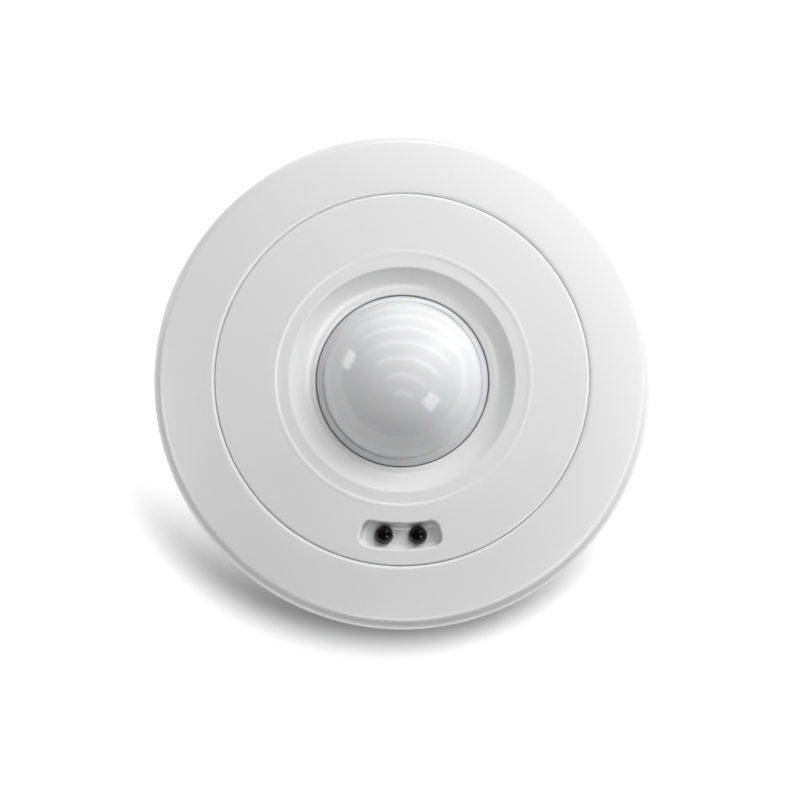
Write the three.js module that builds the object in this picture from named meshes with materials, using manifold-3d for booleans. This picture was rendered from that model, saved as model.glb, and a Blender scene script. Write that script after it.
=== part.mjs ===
// A round, ceiling-mounted passive-infrared motion sensor, in millimetres, +Z up.
// The origin is the centre of the mounting plate's back face. The lens points along +Z
// and the pair of infrared LEDs lies toward -Y.
import * as THREE from 'three';
import { mergeVertices } from 'three/addons/utils/BufferGeometryUtils.js';
import Module from 'manifold-3d';

// Overall shape
const BODY_RADIUS = 67.5;
const SEAM_RADIUS = 50.85;
const SEAM_GAP = 0.4;
const BEAD_RADIUS = 34.9;
const BOWL_RADIUS = 30.7;
const LENS_OPENING_RADIUS = 23.5;
const FACE_Z = 20.8;
const RIM_BOTTOM_Z = 12.6;
const WALL = 2.0;
const EDGE_FILLET = 0.45;
const FACE_DROP = 1.4;
const FACE_DROP_POWER = 1.35;
const SEAT_GAP = 0.2;
const FIT_GAP = 0.3;

// Mounting plate and rear housing
const PLATE_RADIUS = 50;
const PLATE_THICKNESS = 2.0;
const PLATE_CHAMFER = 0.6;
const FLOOR_Z = 3.8;
const FLOOR_THICKNESS = 1.6;
const SKIRT_Z = 0.8;
const HOUSING_RADIUS = 57;
const FLANGE_RADIUS = 64.6;
const FLANGE_Z = 12.0;
const FLANGE_THICKNESS = 2.6;
const HOUSING_SKIRT = { gap: 1.6, draft: 0.4, fillet: 1.6, lean: 1.4, foot: 0.6 };
const HOUSING_FLOOR_BEND = 1;
const KEYHOLE_SPACING = 60;
const KEYHOLE_HEAD_RADIUS = 4.2;
const KEYHOLE_SLOT_WIDTH = 4.6;
const KEYHOLE_SLOT_LENGTH = 9;
const KEYHOLE_RECESS = { margin: 3, depth: 0.8 };
const CABLE_OPENING = { width: 18, depth: 10, corner: 3, y: 21 };

// Bayonet between the plate and the housing
const TWIST_DEGREES = 20;
const HOOK_ANGLES = [90, 210, 330];
const HOOK_HALF_ANGLE = 4;
const HOOK_POST = { inner: 37, outer: 39 };
const HOOK_LIP_OUTER = 42;
const HOOK_LIP_THICKNESS = 1.1;
const SLOT_CLEARANCE = 0.5;
const SLOT_CLEARANCE_DEGREES = 1.2;

// Inner cover, its bowl and the infrared recess
const COVER_RADIUS = SEAM_RADIUS - SEAM_GAP / 2;
const COVER_SKIRT_Z = 11.0;
const COVER_CROWN = 0.4;
const BEAD_WIDTH = 1.0;
const BEAD_HEIGHT = 0.3;
const BOWL_EDGE_DROP = 0.2;
const BOWL_DEPTH = 3.9;
const BOWL_POWER = 1.8;
const LIP_Z = 15.9;
const LIP_OUTER = BOWL_RADIUS - 2.1;
const BOWL_BACK_RADIUS = BOWL_RADIUS + 1.7;
const COVER_SKIRT_WALL = 1.8;
const TAMPER_POST_RADIUS = 2;
const RECESS = { inner: 39.3, outer: 46.4, width: 22, corner: 2.2, depth: 3.2, wall: 1.5 };
const LED_RADIUS_FROM_AXIS = 42.45;
const LED_HALF_SPACING = 4.6;
const LED_RADIUS = 2.5;
const LED_TIP_Z = 20.5;
const LED_RIM = { margin: 0.4, height: 1 };
const LED_HOLDER = { width: 17, depth: 7, corner: 1, top: 12.0, slotWidth: 3.2, slotDepth: 1 };
const WALK_TEST_LED = { x: 9.5, y: -5, radius: 1.5, height: 4.4 };

// Outer ring cover
const RIM_FILLET = { radius: 2.4, inset: 2.6, drop: 3.9, from: 68 };
const RIM_FOOT_FILLET = 0.6;
const RING_SKIRT = { gap: 0.6, draft: 0.2, cornerWidth: 1.6, cornerDrop: 4.2, cornerTop: 2.9 };
const RING_LEDGE = { reach: 3.65, bottom: 9.0, top: 10.5 };

// Lens
const LENS_DOME_RADIUS = 21.2;
const LENS_DOME_HEIGHT = 14.7;
const LENS_STEP_RADIUS = 23.2;
const LENS_STEP_Z = 18.3;
const LENS_WALL = 0.9;
const LENS_FLANGE_RADIUS = 26.8;
const LENS_FLANGE = { bottom: 13.6, top: 14.6 };
const LENS_STEP_CHAMFER = 0.3;
const LENS_SKIRT_WALL = 1.3;
const LENS_SKIRT_DROP = 0.6;
const SEAL_MARGIN = 0.5;
const CLAMP = { thickness: 1.5, wall: 1.8, overlap: 0.7 };

// Circuit board
const PCB_RADIUS = 46.8;
const PCB_Z = 7.4;
const PCB_THICKNESS = 1.6;
const PCB_TOP = PCB_Z + PCB_THICKNESS;
const PART_Z = PCB_TOP + SEAT_GAP;
const PCB_SCREW_ANGLES = [20, 140, 250];
const PCB_SCREW_CIRCLE = 42;
const RING_SCREW_ANGLES = [30, 150, 270];
const RING_SCREW_CIRCLE = 61;
const PCB_SCREW = { head: 2.7, shank: 1.25, headHeight: 1.6, length: 4.4 };
const PCB_HOLE = { radius: 1.7, pilot: 1.5, boss: 3.2 };
const RING_SCREW = { head: 2.6, shank: 1.35, headHeight: 1.4, length: 3.8 };
const RING_HOLE = { radius: 1.75, pilot: 1.7, pilotDepth: 3, boss: 2.7, sinkRadius: 2.9, sink: 1.7 };
const CROSS_RECESS = { length: 1.2, width: 0.3 };

// Parts on the circuit board
const PYRO = { radius: 4.1, flange: 4.7, flangeHeight: 0.7, height: 4.3 };
const PYRO_WINDOW = { width: 5, depth: 4, thickness: 0.5, margin: 0.2 };
const PYRO_GASKET = { wall: 1.8, height: 2 };
const TERMINAL = { ways: 6, pitch: 5, margin: 0.6, depth: 8, height: 8.0, y: 35 };
const TERMINAL_SCREW = { radius: 1.8, sink: 0.6, wellDepth: 3.4, offset: 0.6 };
const TERMINAL_SLOT = { width: 0.6, depth: 0.8 };
const WIRE_ENTRY = { width: 3.2, depth: 4, bottom: 1, top: 4 };
const TAMPER = { x: 33, y: 17, size: 7, corner: 0.6, height: 4, bore: 1.6, travel: 1.0 };
const TAMPER_STEM = { radius: 1.52, depth: 2.2 };
const TAMPER_SPRING = { radius: 2.1, wire: 0.25, turns: 4, stepsPerTurn: 14, endGap: 0.15 };
const TAMPER_CAP = { radius: 2.6, bottom: 16.8, top: 17.8 };
const DIP = { x: 35, y: -8, width: 8, length: 12.4, height: 4.4, ways: 4, pitch: 2.54 };
const DIP_WINDOW = { width: 1.6, length: 4.2, depth: 1.6 };
const DIP_SLIDER = { width: 1.3, length: 1.6, height: 2.0, travel: 2.0 };
const TRIMMER = { x: -34, y: -12, size: 9.5, corner: 0.8, height: 4.6, well: 3.3, rotor: 3.2, depth: 1.4 };
const TRIMMER_SLOT = { width: 0.9, floor: 0.5, rise: 0.4 };
const CHIP = { x: -17, y: -26, size: 9, legReach: 1, standoff: 0.3, height: 1.4 };
const RELAY = { x: -36.5, y: 7, width: 8.2, depth: 14.6, corner: 0.8, brim: 0.4, brimTop: 1.2, top: 8 };
const CAPACITORS = [[-24, 32], [24.5, 31]];
const CAPACITOR = { radius: 3.1, groove: 0.3, grooveZ: 1.4, grooveHalf: 0.4, height: 7 };
const CRYSTAL = { x: 2, y: -33.5, width: 10.4, depth: 4, brim: 0.4, brimTop: 0.5, top: 3.4 };
const NEARLY_HALF = 0.499;

// Smoothness, in straight steps per turn
const ROUND = 60;
const ROUND_HIDDEN = 48;
const ROUND_SMALL = 16;
const ROUND_ROTOR = 24;

const FINISH = {
  shell: { color: 0xeff0f1, roughness: 0.32, metalness: 0 },
  rear: { color: 0xe6e7e8, roughness: 0.5, metalness: 0 },
  lens: { color: 0xf4f5f6, roughness: 0.25, metalness: 0 },
  black: { color: 0x101113, roughness: 0.2, metalness: 0 },
  board: { color: 0x1d5c35, roughness: 0.45, metalness: 0 },
  chip: { color: 0x1b1c1e, roughness: 0.5, metalness: 0 },
  metal: { color: 0xc9ccd0, roughness: 0.3, metalness: 1 },
  gold: { color: 0xc9b27a, roughness: 0.3, metalness: 1 },
  terminal: { color: 0x2f7d4a, roughness: 0.45, metalness: 0 },
  relay: { color: 0xe9e7df, roughness: 0.45, metalness: 0 },
  seal: { color: 0x3a3b3d, roughness: 0.9, metalness: 0 },
  dip: { color: 0x20509a, roughness: 0.4, metalness: 0 },
  white: { color: 0xf2f2f0, roughness: 0.45, metalness: 0 },
  trimmer: { color: 0x2a63b0, roughness: 0.45, metalness: 0 },
  indicator: { color: 0xc23028, roughness: 0.2, metalness: 0 },
};

const wasm = await Module();
wasm.setup();
const rad = THREE.MathUtils.degToRad;
const group = new THREE.Group();

// ---------------------------------------------------------------- solids and helpers

/** A manifold solid from a closed three.js geometry. */
function solid(geometry) {
  geometry.deleteAttribute('normal');
  geometry.deleteAttribute('uv');
  const merged = mergeVertices(geometry);
  const corners = merged.index.array;
  const kept = [];
  for (let i = 0; i < corners.length; i += 3) {
    const [a, b, c] = corners.slice(i, i + 3);
    if (a !== b && b !== c && c !== a) kept.push(a, b, c);
  }
  return new wasm.Manifold(new wasm.Mesh({
    numProp: 3,
    vertProperties: new Float32Array(merged.attributes.position.array),
    triVerts: new Uint32Array(kept),
  }));
}

/** Adds a manifold solid to the model as a named mesh. */
function addPart(name, manifold, finish) {
  const mesh = manifold.getMesh();
  const geometry = new THREE.BufferGeometry();
  geometry.setAttribute('position', new THREE.BufferAttribute(mesh.vertProperties, 3));
  geometry.setIndex(new THREE.BufferAttribute(mesh.triVerts, 1));
  geometry.computeVertexNormals();
  const part = new THREE.Mesh(geometry, new THREE.MeshStandardMaterial(FINISH[finish]));
  part.name = name;
  group.add(part);
}

/** A solid of revolution about Z from a closed outline of [radius, height] points. */
function revolve(outline, segments = ROUND) {
  const points = outline.map(([r, z]) => new THREE.Vector2(r, z));
  if (THREE.ShapeUtils.area(points) < 0) points.reverse();
  const closes = points[0].x === 0 && points[points.length - 1].x === 0;
  if (!closes) points.push(points[0].clone());
  return solid(new THREE.LatheGeometry(points, segments).rotateX(Math.PI / 2));
}

/** Points of a round stretch of an outline, angles in degrees from the radial direction. */
function arc(r, z, radius, from, to, steps = 2) {
  const points = [];
  for (let i = 0; i <= steps; i += 1) {
    const angle = rad(from + ((to - from) * i) / steps);
    points.push([r + radius * Math.cos(angle), z + radius * Math.sin(angle)]);
  }
  return points;
}

function prism(shape, bottom, top, curveSegments = 5) {
  const settings = { depth: top - bottom, bevelEnabled: false, curveSegments };
  return solid(new THREE.ExtrudeGeometry(shape, settings).translate(0, 0, bottom));
}

function cylinder(radius, bottom, top, x = 0, y = 0, segments = ROUND_SMALL) {
  const height = top - bottom;
  const geometry = new THREE.CylinderGeometry(radius, radius, height, segments);
  geometry.rotateX(Math.PI / 2).translate(x, y, bottom + height / 2);
  return solid(geometry);
}

function block(width, depth, bottom, top, x = 0, y = 0) {
  const geometry = new THREE.BoxGeometry(width, depth, top - bottom);
  return solid(geometry.translate(x, y, (bottom + top) / 2));
}

function roundedRectangle(width, depth, corner, x = 0, y = 0) {
  const left = x - width / 2;
  const right = x + width / 2;
  const low = y - depth / 2;
  const high = y + depth / 2;
  const shape = new THREE.Shape();
  shape.absarc(right - corner, low + corner, corner, -Math.PI / 2, 0);
  shape.absarc(right - corner, high - corner, corner, 0, Math.PI / 2);
  shape.absarc(left + corner, high - corner, corner, Math.PI / 2, Math.PI);
  shape.absarc(left + corner, low + corner, corner, Math.PI, 1.5 * Math.PI);
  shape.closePath();
  return shape;
}

/** A slice of a flat ring between two radii and two angles, in degrees. */
function ringSector(inner, outer, from, to) {
  const shape = new THREE.Shape();
  shape.absarc(0, 0, outer, rad(from), rad(to), false);
  shape.absarc(0, 0, inner, rad(to), rad(from), true);
  shape.closePath();
  return shape;
}

/** A ring slice centred on -Y with rounded corners. */
function roundedSector(inner, outer, width, corner) {
  const half = Math.asin(width / (inner + outer));
  const middle = -Math.PI / 2;
  const at = (radius, angle) => [radius * Math.cos(angle), radius * Math.sin(angle)];
  const shape = new THREE.Shape();
  const bend = (radius, angle) => corner / radius * Math.sign(angle);
  shape.absarc(0, 0, outer, middle - half + bend(outer, 1), middle + half - bend(outer, 1), false);
  shape.quadraticCurveTo(...at(outer, middle + half), ...at(outer - corner, middle + half));
  shape.lineTo(...at(inner + corner, middle + half));
  shape.quadraticCurveTo(...at(inner, middle + half), ...at(inner, middle + half - bend(inner, 1)));
  shape.absarc(0, 0, inner, middle + half - bend(inner, 1), middle - half + bend(inner, 1), true);
  shape.quadraticCurveTo(...at(inner, middle - half), ...at(inner + corner, middle - half));
  shape.lineTo(...at(outer - corner, middle - half));
  shape.quadraticCurveTo(...at(outer, middle - half), ...at(outer, middle - half + bend(outer, 1)));
  shape.closePath();
  return shape;
}

function polar(radius, degrees) {
  return [radius * Math.cos(rad(degrees)), radius * Math.sin(rad(degrees))];
}

/** A pan-head screw along Z with its head at the top, or below when flipped. */
function screw(x, y, headZ, size, flipped = false) {
  const side = flipped ? -1 : 1;
  const spans = [[0, size.headHeight], [-size.length, 0], [size.headHeight / 2, size.headHeight]];
  const [head, shank, cross] = spans.map((span) => span.map((z) => headZ + side * z).sort((a, b) => a - b));
  const body = cylinder(size.head, ...head, x, y).add(cylinder(size.shank, ...shank, x, y));
  const long = size.head * CROSS_RECESS.length;
  const thin = size.head * CROSS_RECESS.width;
  return body.subtract(block(long, thin, ...cross, x, y)).subtract(block(thin, long, ...cross, x, y));
}

// ---------------------------------------------------------------- mounting plate

/** A keyhole through the plate, with a recess in its front face for the screw's head. */
function keyhole(side) {
  const x = (side * KEYHOLE_SPACING) / 2;
  const y = KEYHOLE_SLOT_LENGTH / 2;
  const slotCorner = KEYHOLE_SLOT_WIDTH * NEARLY_HALF;
  const slot = roundedRectangle(KEYHOLE_SLOT_WIDTH, KEYHOLE_SLOT_LENGTH, slotCorner, x, y);
  const top = PLATE_THICKNESS + 1;
  const hole = cylinder(KEYHOLE_HEAD_RADIUS, -1, top, x, 0).add(prism(slot, -1, top));
  const width = KEYHOLE_SLOT_WIDTH + 2 * KEYHOLE_RECESS.margin;
  const length = KEYHOLE_SLOT_LENGTH + 2 * KEYHOLE_RECESS.margin;
  const recess = roundedRectangle(width, length, width * NEARLY_HALF, x, y);
  return hole.add(prism(recess, PLATE_THICKNESS - KEYHOLE_RECESS.depth, top));
}

function cableOpening(bottom, top) {
  const { width, depth, corner, y } = CABLE_OPENING;
  return prism(roundedRectangle(width, depth, corner, 0, y), bottom, top);
}

function bayonetHook(angle) {
  const from = angle - HOOK_HALF_ANGLE;
  const to = angle + HOOK_HALF_ANGLE;
  const lipBottom = FLOOR_Z + FLOOR_THICKNESS + FIT_GAP;
  const lipTop = lipBottom + HOOK_LIP_THICKNESS;
  const post = prism(ringSector(HOOK_POST.inner, HOOK_POST.outer, from, to), PLATE_THICKNESS / 2, lipTop);
  const lip = ringSector(HOOK_POST.inner, HOOK_LIP_OUTER, from, to);
  return post.add(prism(lip, lipBottom, lipTop));
}

function makeMountingPlate() {
  let plate = revolve([
    [0, 0],
    [PLATE_RADIUS - PLATE_CHAMFER, 0],
    [PLATE_RADIUS, PLATE_CHAMFER],
    [PLATE_RADIUS, PLATE_THICKNESS],
    [0, PLATE_THICKNESS],
  ], ROUND_HIDDEN);
  for (const angle of HOOK_ANGLES) plate = plate.add(bayonetHook(angle));
  plate = plate.subtract(keyhole(-1)).subtract(keyhole(1));
  plate = plate.subtract(cableOpening(-1, PLATE_THICKNESS + 1));
  addPart('mounting_plate', plate, 'rear');
}

// ---------------------------------------------------------------- rear housing

/** The slot that a bayonet hook enters and slides along. */
function bayonetSlot(angle) {
  const bottom = FLOOR_Z - 1;
  const top = FLOOR_Z + FLOOR_THICKNESS + 1;
  const reach = HOOK_HALF_ANGLE + SLOT_CLEARANCE_DEGREES;
  const entry = angle - TWIST_DEGREES;
  const inner = HOOK_POST.inner - SLOT_CLEARANCE;
  const narrow = ringSector(inner, HOOK_POST.outer + SLOT_CLEARANCE, entry, angle + reach);
  const wide = ringSector(inner, HOOK_LIP_OUTER + SLOT_CLEARANCE, entry - reach, entry + reach);
  return prism(narrow, bottom, top).add(prism(wide, bottom, top));
}

function makeRearHousing() {
  const floorTop = FLOOR_Z + FLOOR_THICKNESS;
  const flangeTop = FLANGE_Z + FLANGE_THICKNESS;
  const { gap, draft, fillet, lean, foot } = HOUSING_SKIRT;
  const wallInner = HOUSING_RADIUS - WALL;
  let housing = revolve([
    [0, FLOOR_Z],
    [PLATE_RADIUS + gap, FLOOR_Z],
    [PLATE_RADIUS + gap + draft, SKIRT_Z],
    ...arc(HOUSING_RADIUS - lean - fillet, SKIRT_Z + fillet, fillet, -90, -5),
    [HOUSING_RADIUS, FLANGE_Z - foot],
    [HOUSING_RADIUS + foot, FLANGE_Z],
    [FLANGE_RADIUS, FLANGE_Z],
    [FLANGE_RADIUS, flangeTop],
    [wallInner, flangeTop],
    [wallInner - HOUSING_FLOOR_BEND, floorTop + HOUSING_FLOOR_BEND],
    [wallInner - 2 * HOUSING_FLOOR_BEND, floorTop],
    [0, floorTop],
  ], ROUND_HIDDEN);
  for (const angle of HOOK_ANGLES) housing = housing.subtract(bayonetSlot(angle));
  for (const angle of PCB_SCREW_ANGLES) {
    const [x, y] = polar(PCB_SCREW_CIRCLE, angle);
    const holeBottom = floorTop - FLOOR_THICKNESS / 2;
    housing = housing.add(cylinder(PCB_HOLE.boss, holeBottom, PCB_Z - SEAT_GAP, x, y));
    housing = housing.subtract(cylinder(PCB_HOLE.pilot, holeBottom, PCB_Z, x, y));
  }
  for (const angle of RING_SCREW_ANGLES) {
    const [x, y] = polar(RING_SCREW_CIRCLE, angle);
    housing = housing.subtract(cylinder(RING_HOLE.radius, FLANGE_Z - 1, flangeTop + 1, x, y));
    const sinkTop = FLANGE_Z + RING_HOLE.sink;
    housing = housing.subtract(cylinder(RING_HOLE.sinkRadius, FLANGE_Z - 1, sinkTop, x, y));
  }
  housing = housing.subtract(cableOpening(FLOOR_Z - 1, floorTop + 1));
  addPart('rear_housing', housing, 'rear');
}

// ---------------------------------------------------------------- outer ring cover

function ringFace() {
  const inner = SEAM_RADIUS + SEAM_GAP / 2 + EDGE_FILLET;
  const outer = BODY_RADIUS - RIM_FILLET.radius;
  const steps = 3;
  const points = [];
  for (let i = 0; i <= steps; i += 1) {
    const t = i / steps;
    points.push([inner + (outer - inner) * t, FACE_Z - FACE_DROP * t ** FACE_DROP_POWER]);
  }
  return points;
}

function makeOuterRing() {
  const inner = SEAM_RADIUS + SEAM_GAP / 2;
  const collar = inner + WALL;
  const ledgeInner = inner - RING_LEDGE.reach;
  const { radius, inset, drop, from } = RIM_FILLET;
  const { gap, draft, cornerWidth, cornerDrop, cornerTop } = RING_SKIRT;
  const skirtInner = FLANGE_RADIUS + gap;
  const foot = RIM_FOOT_FILLET;
  let ring = revolve([
    [inner, RING_LEDGE.top],
    ...arc(inner + EDGE_FILLET, FACE_Z - EDGE_FILLET, EDGE_FILLET, 180, 90),
    ...ringFace().slice(1),
    ...arc(BODY_RADIUS - inset, FACE_Z - drop, radius, from, 0, 3),
    [BODY_RADIUS, RIM_BOTTOM_Z + foot],
    ...arc(BODY_RADIUS - foot, RIM_BOTTOM_Z + foot, foot, -30, -90, 1),
    [skirtInner + draft, RIM_BOTTOM_Z],
    [skirtInner, FACE_Z - cornerDrop],
    [skirtInner - cornerWidth, FACE_Z - cornerTop],
    [collar, FACE_Z - WALL - draft],
    [collar, RING_LEDGE.bottom],
    [ledgeInner, RING_LEDGE.bottom],
    [ledgeInner, RING_LEDGE.top],
  ]);
  for (const angle of RING_SCREW_ANGLES) {
    const [x, y] = polar(RING_SCREW_CIRCLE, angle);
    const bottom = FLANGE_Z + FLANGE_THICKNESS + FIT_GAP;
    ring = ring.add(cylinder(RING_HOLE.boss, bottom, FACE_Z - WALL, x, y));
    ring = ring.subtract(cylinder(RING_HOLE.pilot, bottom - 1, bottom + RING_HOLE.pilotDepth, x, y));
  }
  addPart('outer_ring_cover', ring, 'shell');
}

// ---------------------------------------------------------------- inner cover

/** The bowl's surface from its outer edge down to the lens opening. */
function bowlCurve(edgeZ) {
  const steps = 5;
  const points = [];
  for (let i = 0; i <= steps; i += 1) {
    const t = 1 - i / steps;
    const r = LENS_OPENING_RADIUS + (BOWL_RADIUS - LENS_OPENING_RADIUS) * t;
    points.push([r, edgeZ - BOWL_DEPTH + BOWL_DEPTH * t ** BOWL_POWER]);
  }
  return points;
}

function recessCut() {
  const floorZ = FACE_Z - RECESS.depth;
  const shape = roundedSector(RECESS.inner, RECESS.outer, RECESS.width, RECESS.corner);
  let cut = prism(shape, floorZ, FACE_Z + 2);
  for (const side of [-1, 1]) {
    const [x, y] = ledPlace(side);
    cut = cut.add(cylinder(LED_RADIUS + FIT_GAP, floorZ - 4, floorZ + 1, x, y));
  }
  return cut;
}

function recessTub() {
  const { inner, outer, width, corner, depth, wall } = RECESS;
  const shape = roundedSector(inner - wall, outer + wall, width + 2 * wall, corner + wall);
  return prism(shape, FACE_Z - depth - wall, FACE_Z - WALL / 2);
}

function makeInnerCover() {
  const crownZ = FACE_Z + COVER_CROWN;
  const edgeZ = crownZ - BOWL_EDGE_DROP;
  const skirtInner = COVER_RADIUS - COVER_SKIRT_WALL;
  let cover = revolve([
    [COVER_RADIUS, COVER_SKIRT_Z],
    ...arc(COVER_RADIUS - EDGE_FILLET, FACE_Z - EDGE_FILLET, EDGE_FILLET, 0, 90),
    [(COVER_RADIUS + BEAD_RADIUS) / 2, FACE_Z + 0.7 * COVER_CROWN],
    ...arc(BEAD_RADIUS, crownZ + BEAD_HEIGHT - BEAD_WIDTH / 2, BEAD_WIDTH / 2, 10, 170, 3),
    ...bowlCurve(edgeZ),
    [LENS_OPENING_RADIUS, LIP_Z],
    [LIP_OUTER, LIP_Z],
    [BOWL_BACK_RADIUS, FACE_Z - WALL],
    [skirtInner, FACE_Z - WALL],
    [skirtInner, COVER_SKIRT_Z],
  ]);
  cover = cover.add(recessTub()).subtract(recessCut());
  const postBottom = TAMPER_CAP.top + FIT_GAP;
  const postTop = FACE_Z - WALL / 2;
  cover = cover.add(cylinder(TAMPER_POST_RADIUS, postBottom, postTop, TAMPER.x, TAMPER.y));
  addPart('inner_cover', cover, 'shell');
}

// ---------------------------------------------------------------- lens

function domeArc(thickness, steps) {
  const sphere = (LENS_DOME_RADIUS ** 2 + LENS_DOME_HEIGHT ** 2) / (2 * LENS_DOME_HEIGHT);
  const centreZ = LENS_STEP_Z + LENS_DOME_HEIGHT - sphere;
  const span = Math.asin(LENS_DOME_RADIUS / sphere);
  const points = [];
  for (let i = 0; i <= steps; i += 1) {
    const angle = (span * i) / steps;
    const radius = sphere - thickness;
    points.push([radius * Math.sin(angle), centreZ + radius * Math.cos(angle)]);
  }
  points[0][0] = 0;
  return points;
}

function makeLens() {
  const skirtInner = LENS_STEP_RADIUS - LENS_SKIRT_WALL;
  const skirtTop = LENS_STEP_Z - LENS_WALL - LENS_SKIRT_DROP;
  addPart('lens_dome', revolve([
    ...domeArc(0, 8),
    [LENS_STEP_RADIUS - LENS_STEP_CHAMFER, LENS_STEP_Z],
    [LENS_STEP_RADIUS, LENS_STEP_Z - LENS_STEP_CHAMFER],
    [LENS_STEP_RADIUS, LENS_FLANGE.top],
    [LENS_FLANGE_RADIUS, LENS_FLANGE.top],
    [LENS_FLANGE_RADIUS, LENS_FLANGE.bottom],
    [skirtInner, LENS_FLANGE.bottom],
    [skirtInner, skirtTop],
    ...domeArc(LENS_WALL, 5).reverse(),
  ], ROUND_HIDDEN), 'lens');
  addPart('lens_seal', revolve([
    [LENS_OPENING_RADIUS + SEAL_MARGIN, LENS_FLANGE.top + FIT_GAP],
    [LENS_FLANGE_RADIUS - SEAL_MARGIN, LENS_FLANGE.top + FIT_GAP],
    [LENS_FLANGE_RADIUS - SEAL_MARGIN, LIP_Z - FIT_GAP],
    [LENS_OPENING_RADIUS + SEAL_MARGIN, LIP_Z - FIT_GAP],
  ], ROUND_HIDDEN), 'seal');
  const clampTop = LENS_FLANGE.bottom - FIT_GAP;
  const clampInner = LENS_STEP_RADIUS - CLAMP.overlap;
  const clampOuter = LENS_FLANGE_RADIUS + CLAMP.wall;
  addPart('lens_retaining_ring', revolve([
    [clampInner, clampTop - CLAMP.thickness],
    [clampOuter, clampTop - CLAMP.thickness],
    [clampOuter, LIP_Z - FIT_GAP],
    [LENS_FLANGE_RADIUS + FIT_GAP, LIP_Z - FIT_GAP],
    [LENS_FLANGE_RADIUS + FIT_GAP, clampTop],
    [clampInner, clampTop],
  ], ROUND_HIDDEN), 'rear');
}

// ---------------------------------------------------------------- board and screws

function makeBoard() {
  let board = cylinder(PCB_RADIUS, PCB_Z, PCB_TOP, 0, 0, ROUND_HIDDEN);
  board = board.subtract(cableOpening(PCB_Z - 1, PCB_TOP + 1));
  for (const angle of PCB_SCREW_ANGLES) {
    const [x, y] = polar(PCB_SCREW_CIRCLE, angle);
    board = board.subtract(cylinder(PCB_HOLE.radius, PCB_Z - 1, PCB_TOP + 1, x, y));
  }
  addPart('main_pcb', board, 'board');
}

function makeScrews() {
  PCB_SCREW_ANGLES.forEach((angle, i) => {
    const [x, y] = polar(PCB_SCREW_CIRCLE, angle);
    addPart(`pcb_screw_${i + 1}`, screw(x, y, PART_Z, PCB_SCREW), 'metal');
  });
  RING_SCREW_ANGLES.forEach((angle, i) => {
    const [x, y] = polar(RING_SCREW_CIRCLE, angle);
    const under = FLANGE_Z + RING_HOLE.sink - SEAT_GAP;
    addPart(`ring_screw_${i + 1}`, screw(x, y, under, RING_SCREW, true), 'metal');
  });
}

// ---------------------------------------------------------------- sensing parts

function makePyroSensor() {
  const top = PART_Z + PYRO.height;
  const { width, depth, thickness, margin } = PYRO_WINDOW;
  let body = cylinder(PYRO.flange, PART_Z, PART_Z + PYRO.flangeHeight, 0, 0, ROUND_ROTOR);
  body = body.add(cylinder(PYRO.radius, PART_Z, top, 0, 0, ROUND_ROTOR));
  body = body.subtract(block(width, depth, top - thickness - SEAT_GAP, top + 1));
  addPart('pyro_sensor_can', body, 'gold');
  const pane = block(width - 2 * margin, depth - 2 * margin, top - thickness, top);
  addPart('pyro_sensor_window', pane, 'chip');
  const inner = PYRO.flange + FIT_GAP;
  addPart('pyro_gasket', revolve([
    [inner, PART_Z],
    [inner + PYRO_GASKET.wall, PART_Z],
    [inner + PYRO_GASKET.wall, PART_Z + PYRO_GASKET.height],
    [inner, PART_Z + PYRO_GASKET.height],
  ], ROUND_ROTOR), 'seal');
}

/** The place of the left (-1) or right (1) infrared LED. */
function ledPlace(side) {
  const x = side * LED_HALF_SPACING;
  return [x, -Math.sqrt(LED_RADIUS_FROM_AXIS ** 2 - LED_HALF_SPACING ** 2)];
}

function domedLed(radius, bottom, tip, x, y) {
  const rimTop = bottom + LED_RIM.height;
  return revolve([
    [0, bottom],
    [radius + LED_RIM.margin, bottom],
    [radius + LED_RIM.margin, rimTop],
    [radius, rimTop],
    ...arc(0, tip - radius, radius, 0, 90, 4).slice(0, -1),
    [0, tip],
  ], ROUND_SMALL).translate([x, y, 0]);
}

function makeLeds() {
  const { width, depth, corner, top, slotWidth, slotDepth } = LED_HOLDER;
  const [, y] = ledPlace(1);
  let holder = prism(roundedRectangle(width, depth, corner, 0, y), PART_Z, top, 3);
  ['left', 'right'].forEach((name, i) => {
    const [x] = ledPlace(2 * i - 1);
    holder = holder.subtract(block(slotWidth, slotDepth, PART_Z - 1, top + 1, x, y));
    addPart(`ir_led_${name}`, domedLed(LED_RADIUS, top + SEAT_GAP, LED_TIP_Z, x, y), 'black');
  });
  addPart('led_holder', holder, 'chip');
  const { x, y: lampY, radius, height } = WALK_TEST_LED;
  addPart('walk_test_led', domedLed(radius, PART_Z, PART_Z + height, x, lampY), 'indicator');
}

// ---------------------------------------------------------------- terminals and switches

function makeTerminals() {
  const { ways, pitch, margin, depth, height, y } = TERMINAL;
  const { radius, sink, wellDepth, offset } = TERMINAL_SCREW;
  const top = PART_Z + height;
  const wellBottom = top - wellDepth;
  const screwY = y + offset;
  let body = block(ways * pitch + margin, depth, PART_Z, top, 0, y);
  for (let i = 0; i < ways; i += 1) {
    const x = (i - (ways - 1) / 2) * pitch;
    body = body.subtract(cylinder(radius + FIT_GAP, wellBottom, top + 1, x, screwY));
    const entry = [PART_Z + WIRE_ENTRY.bottom, PART_Z + WIRE_ENTRY.top];
    body = body.subtract(block(WIRE_ENTRY.width, WIRE_ENTRY.depth, ...entry, x, y - depth / 2));
    const head = cylinder(radius, wellBottom + SEAT_GAP, top - sink, x, screwY);
    const slot = block(2 * radius + 1, TERMINAL_SLOT.width, top - sink - TERMINAL_SLOT.depth, top, x, screwY);
    addPart(`terminal_screw_${i + 1}`, head.subtract(slot), 'metal');
  }
  addPart('terminal_block', body, 'terminal');
}

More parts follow.
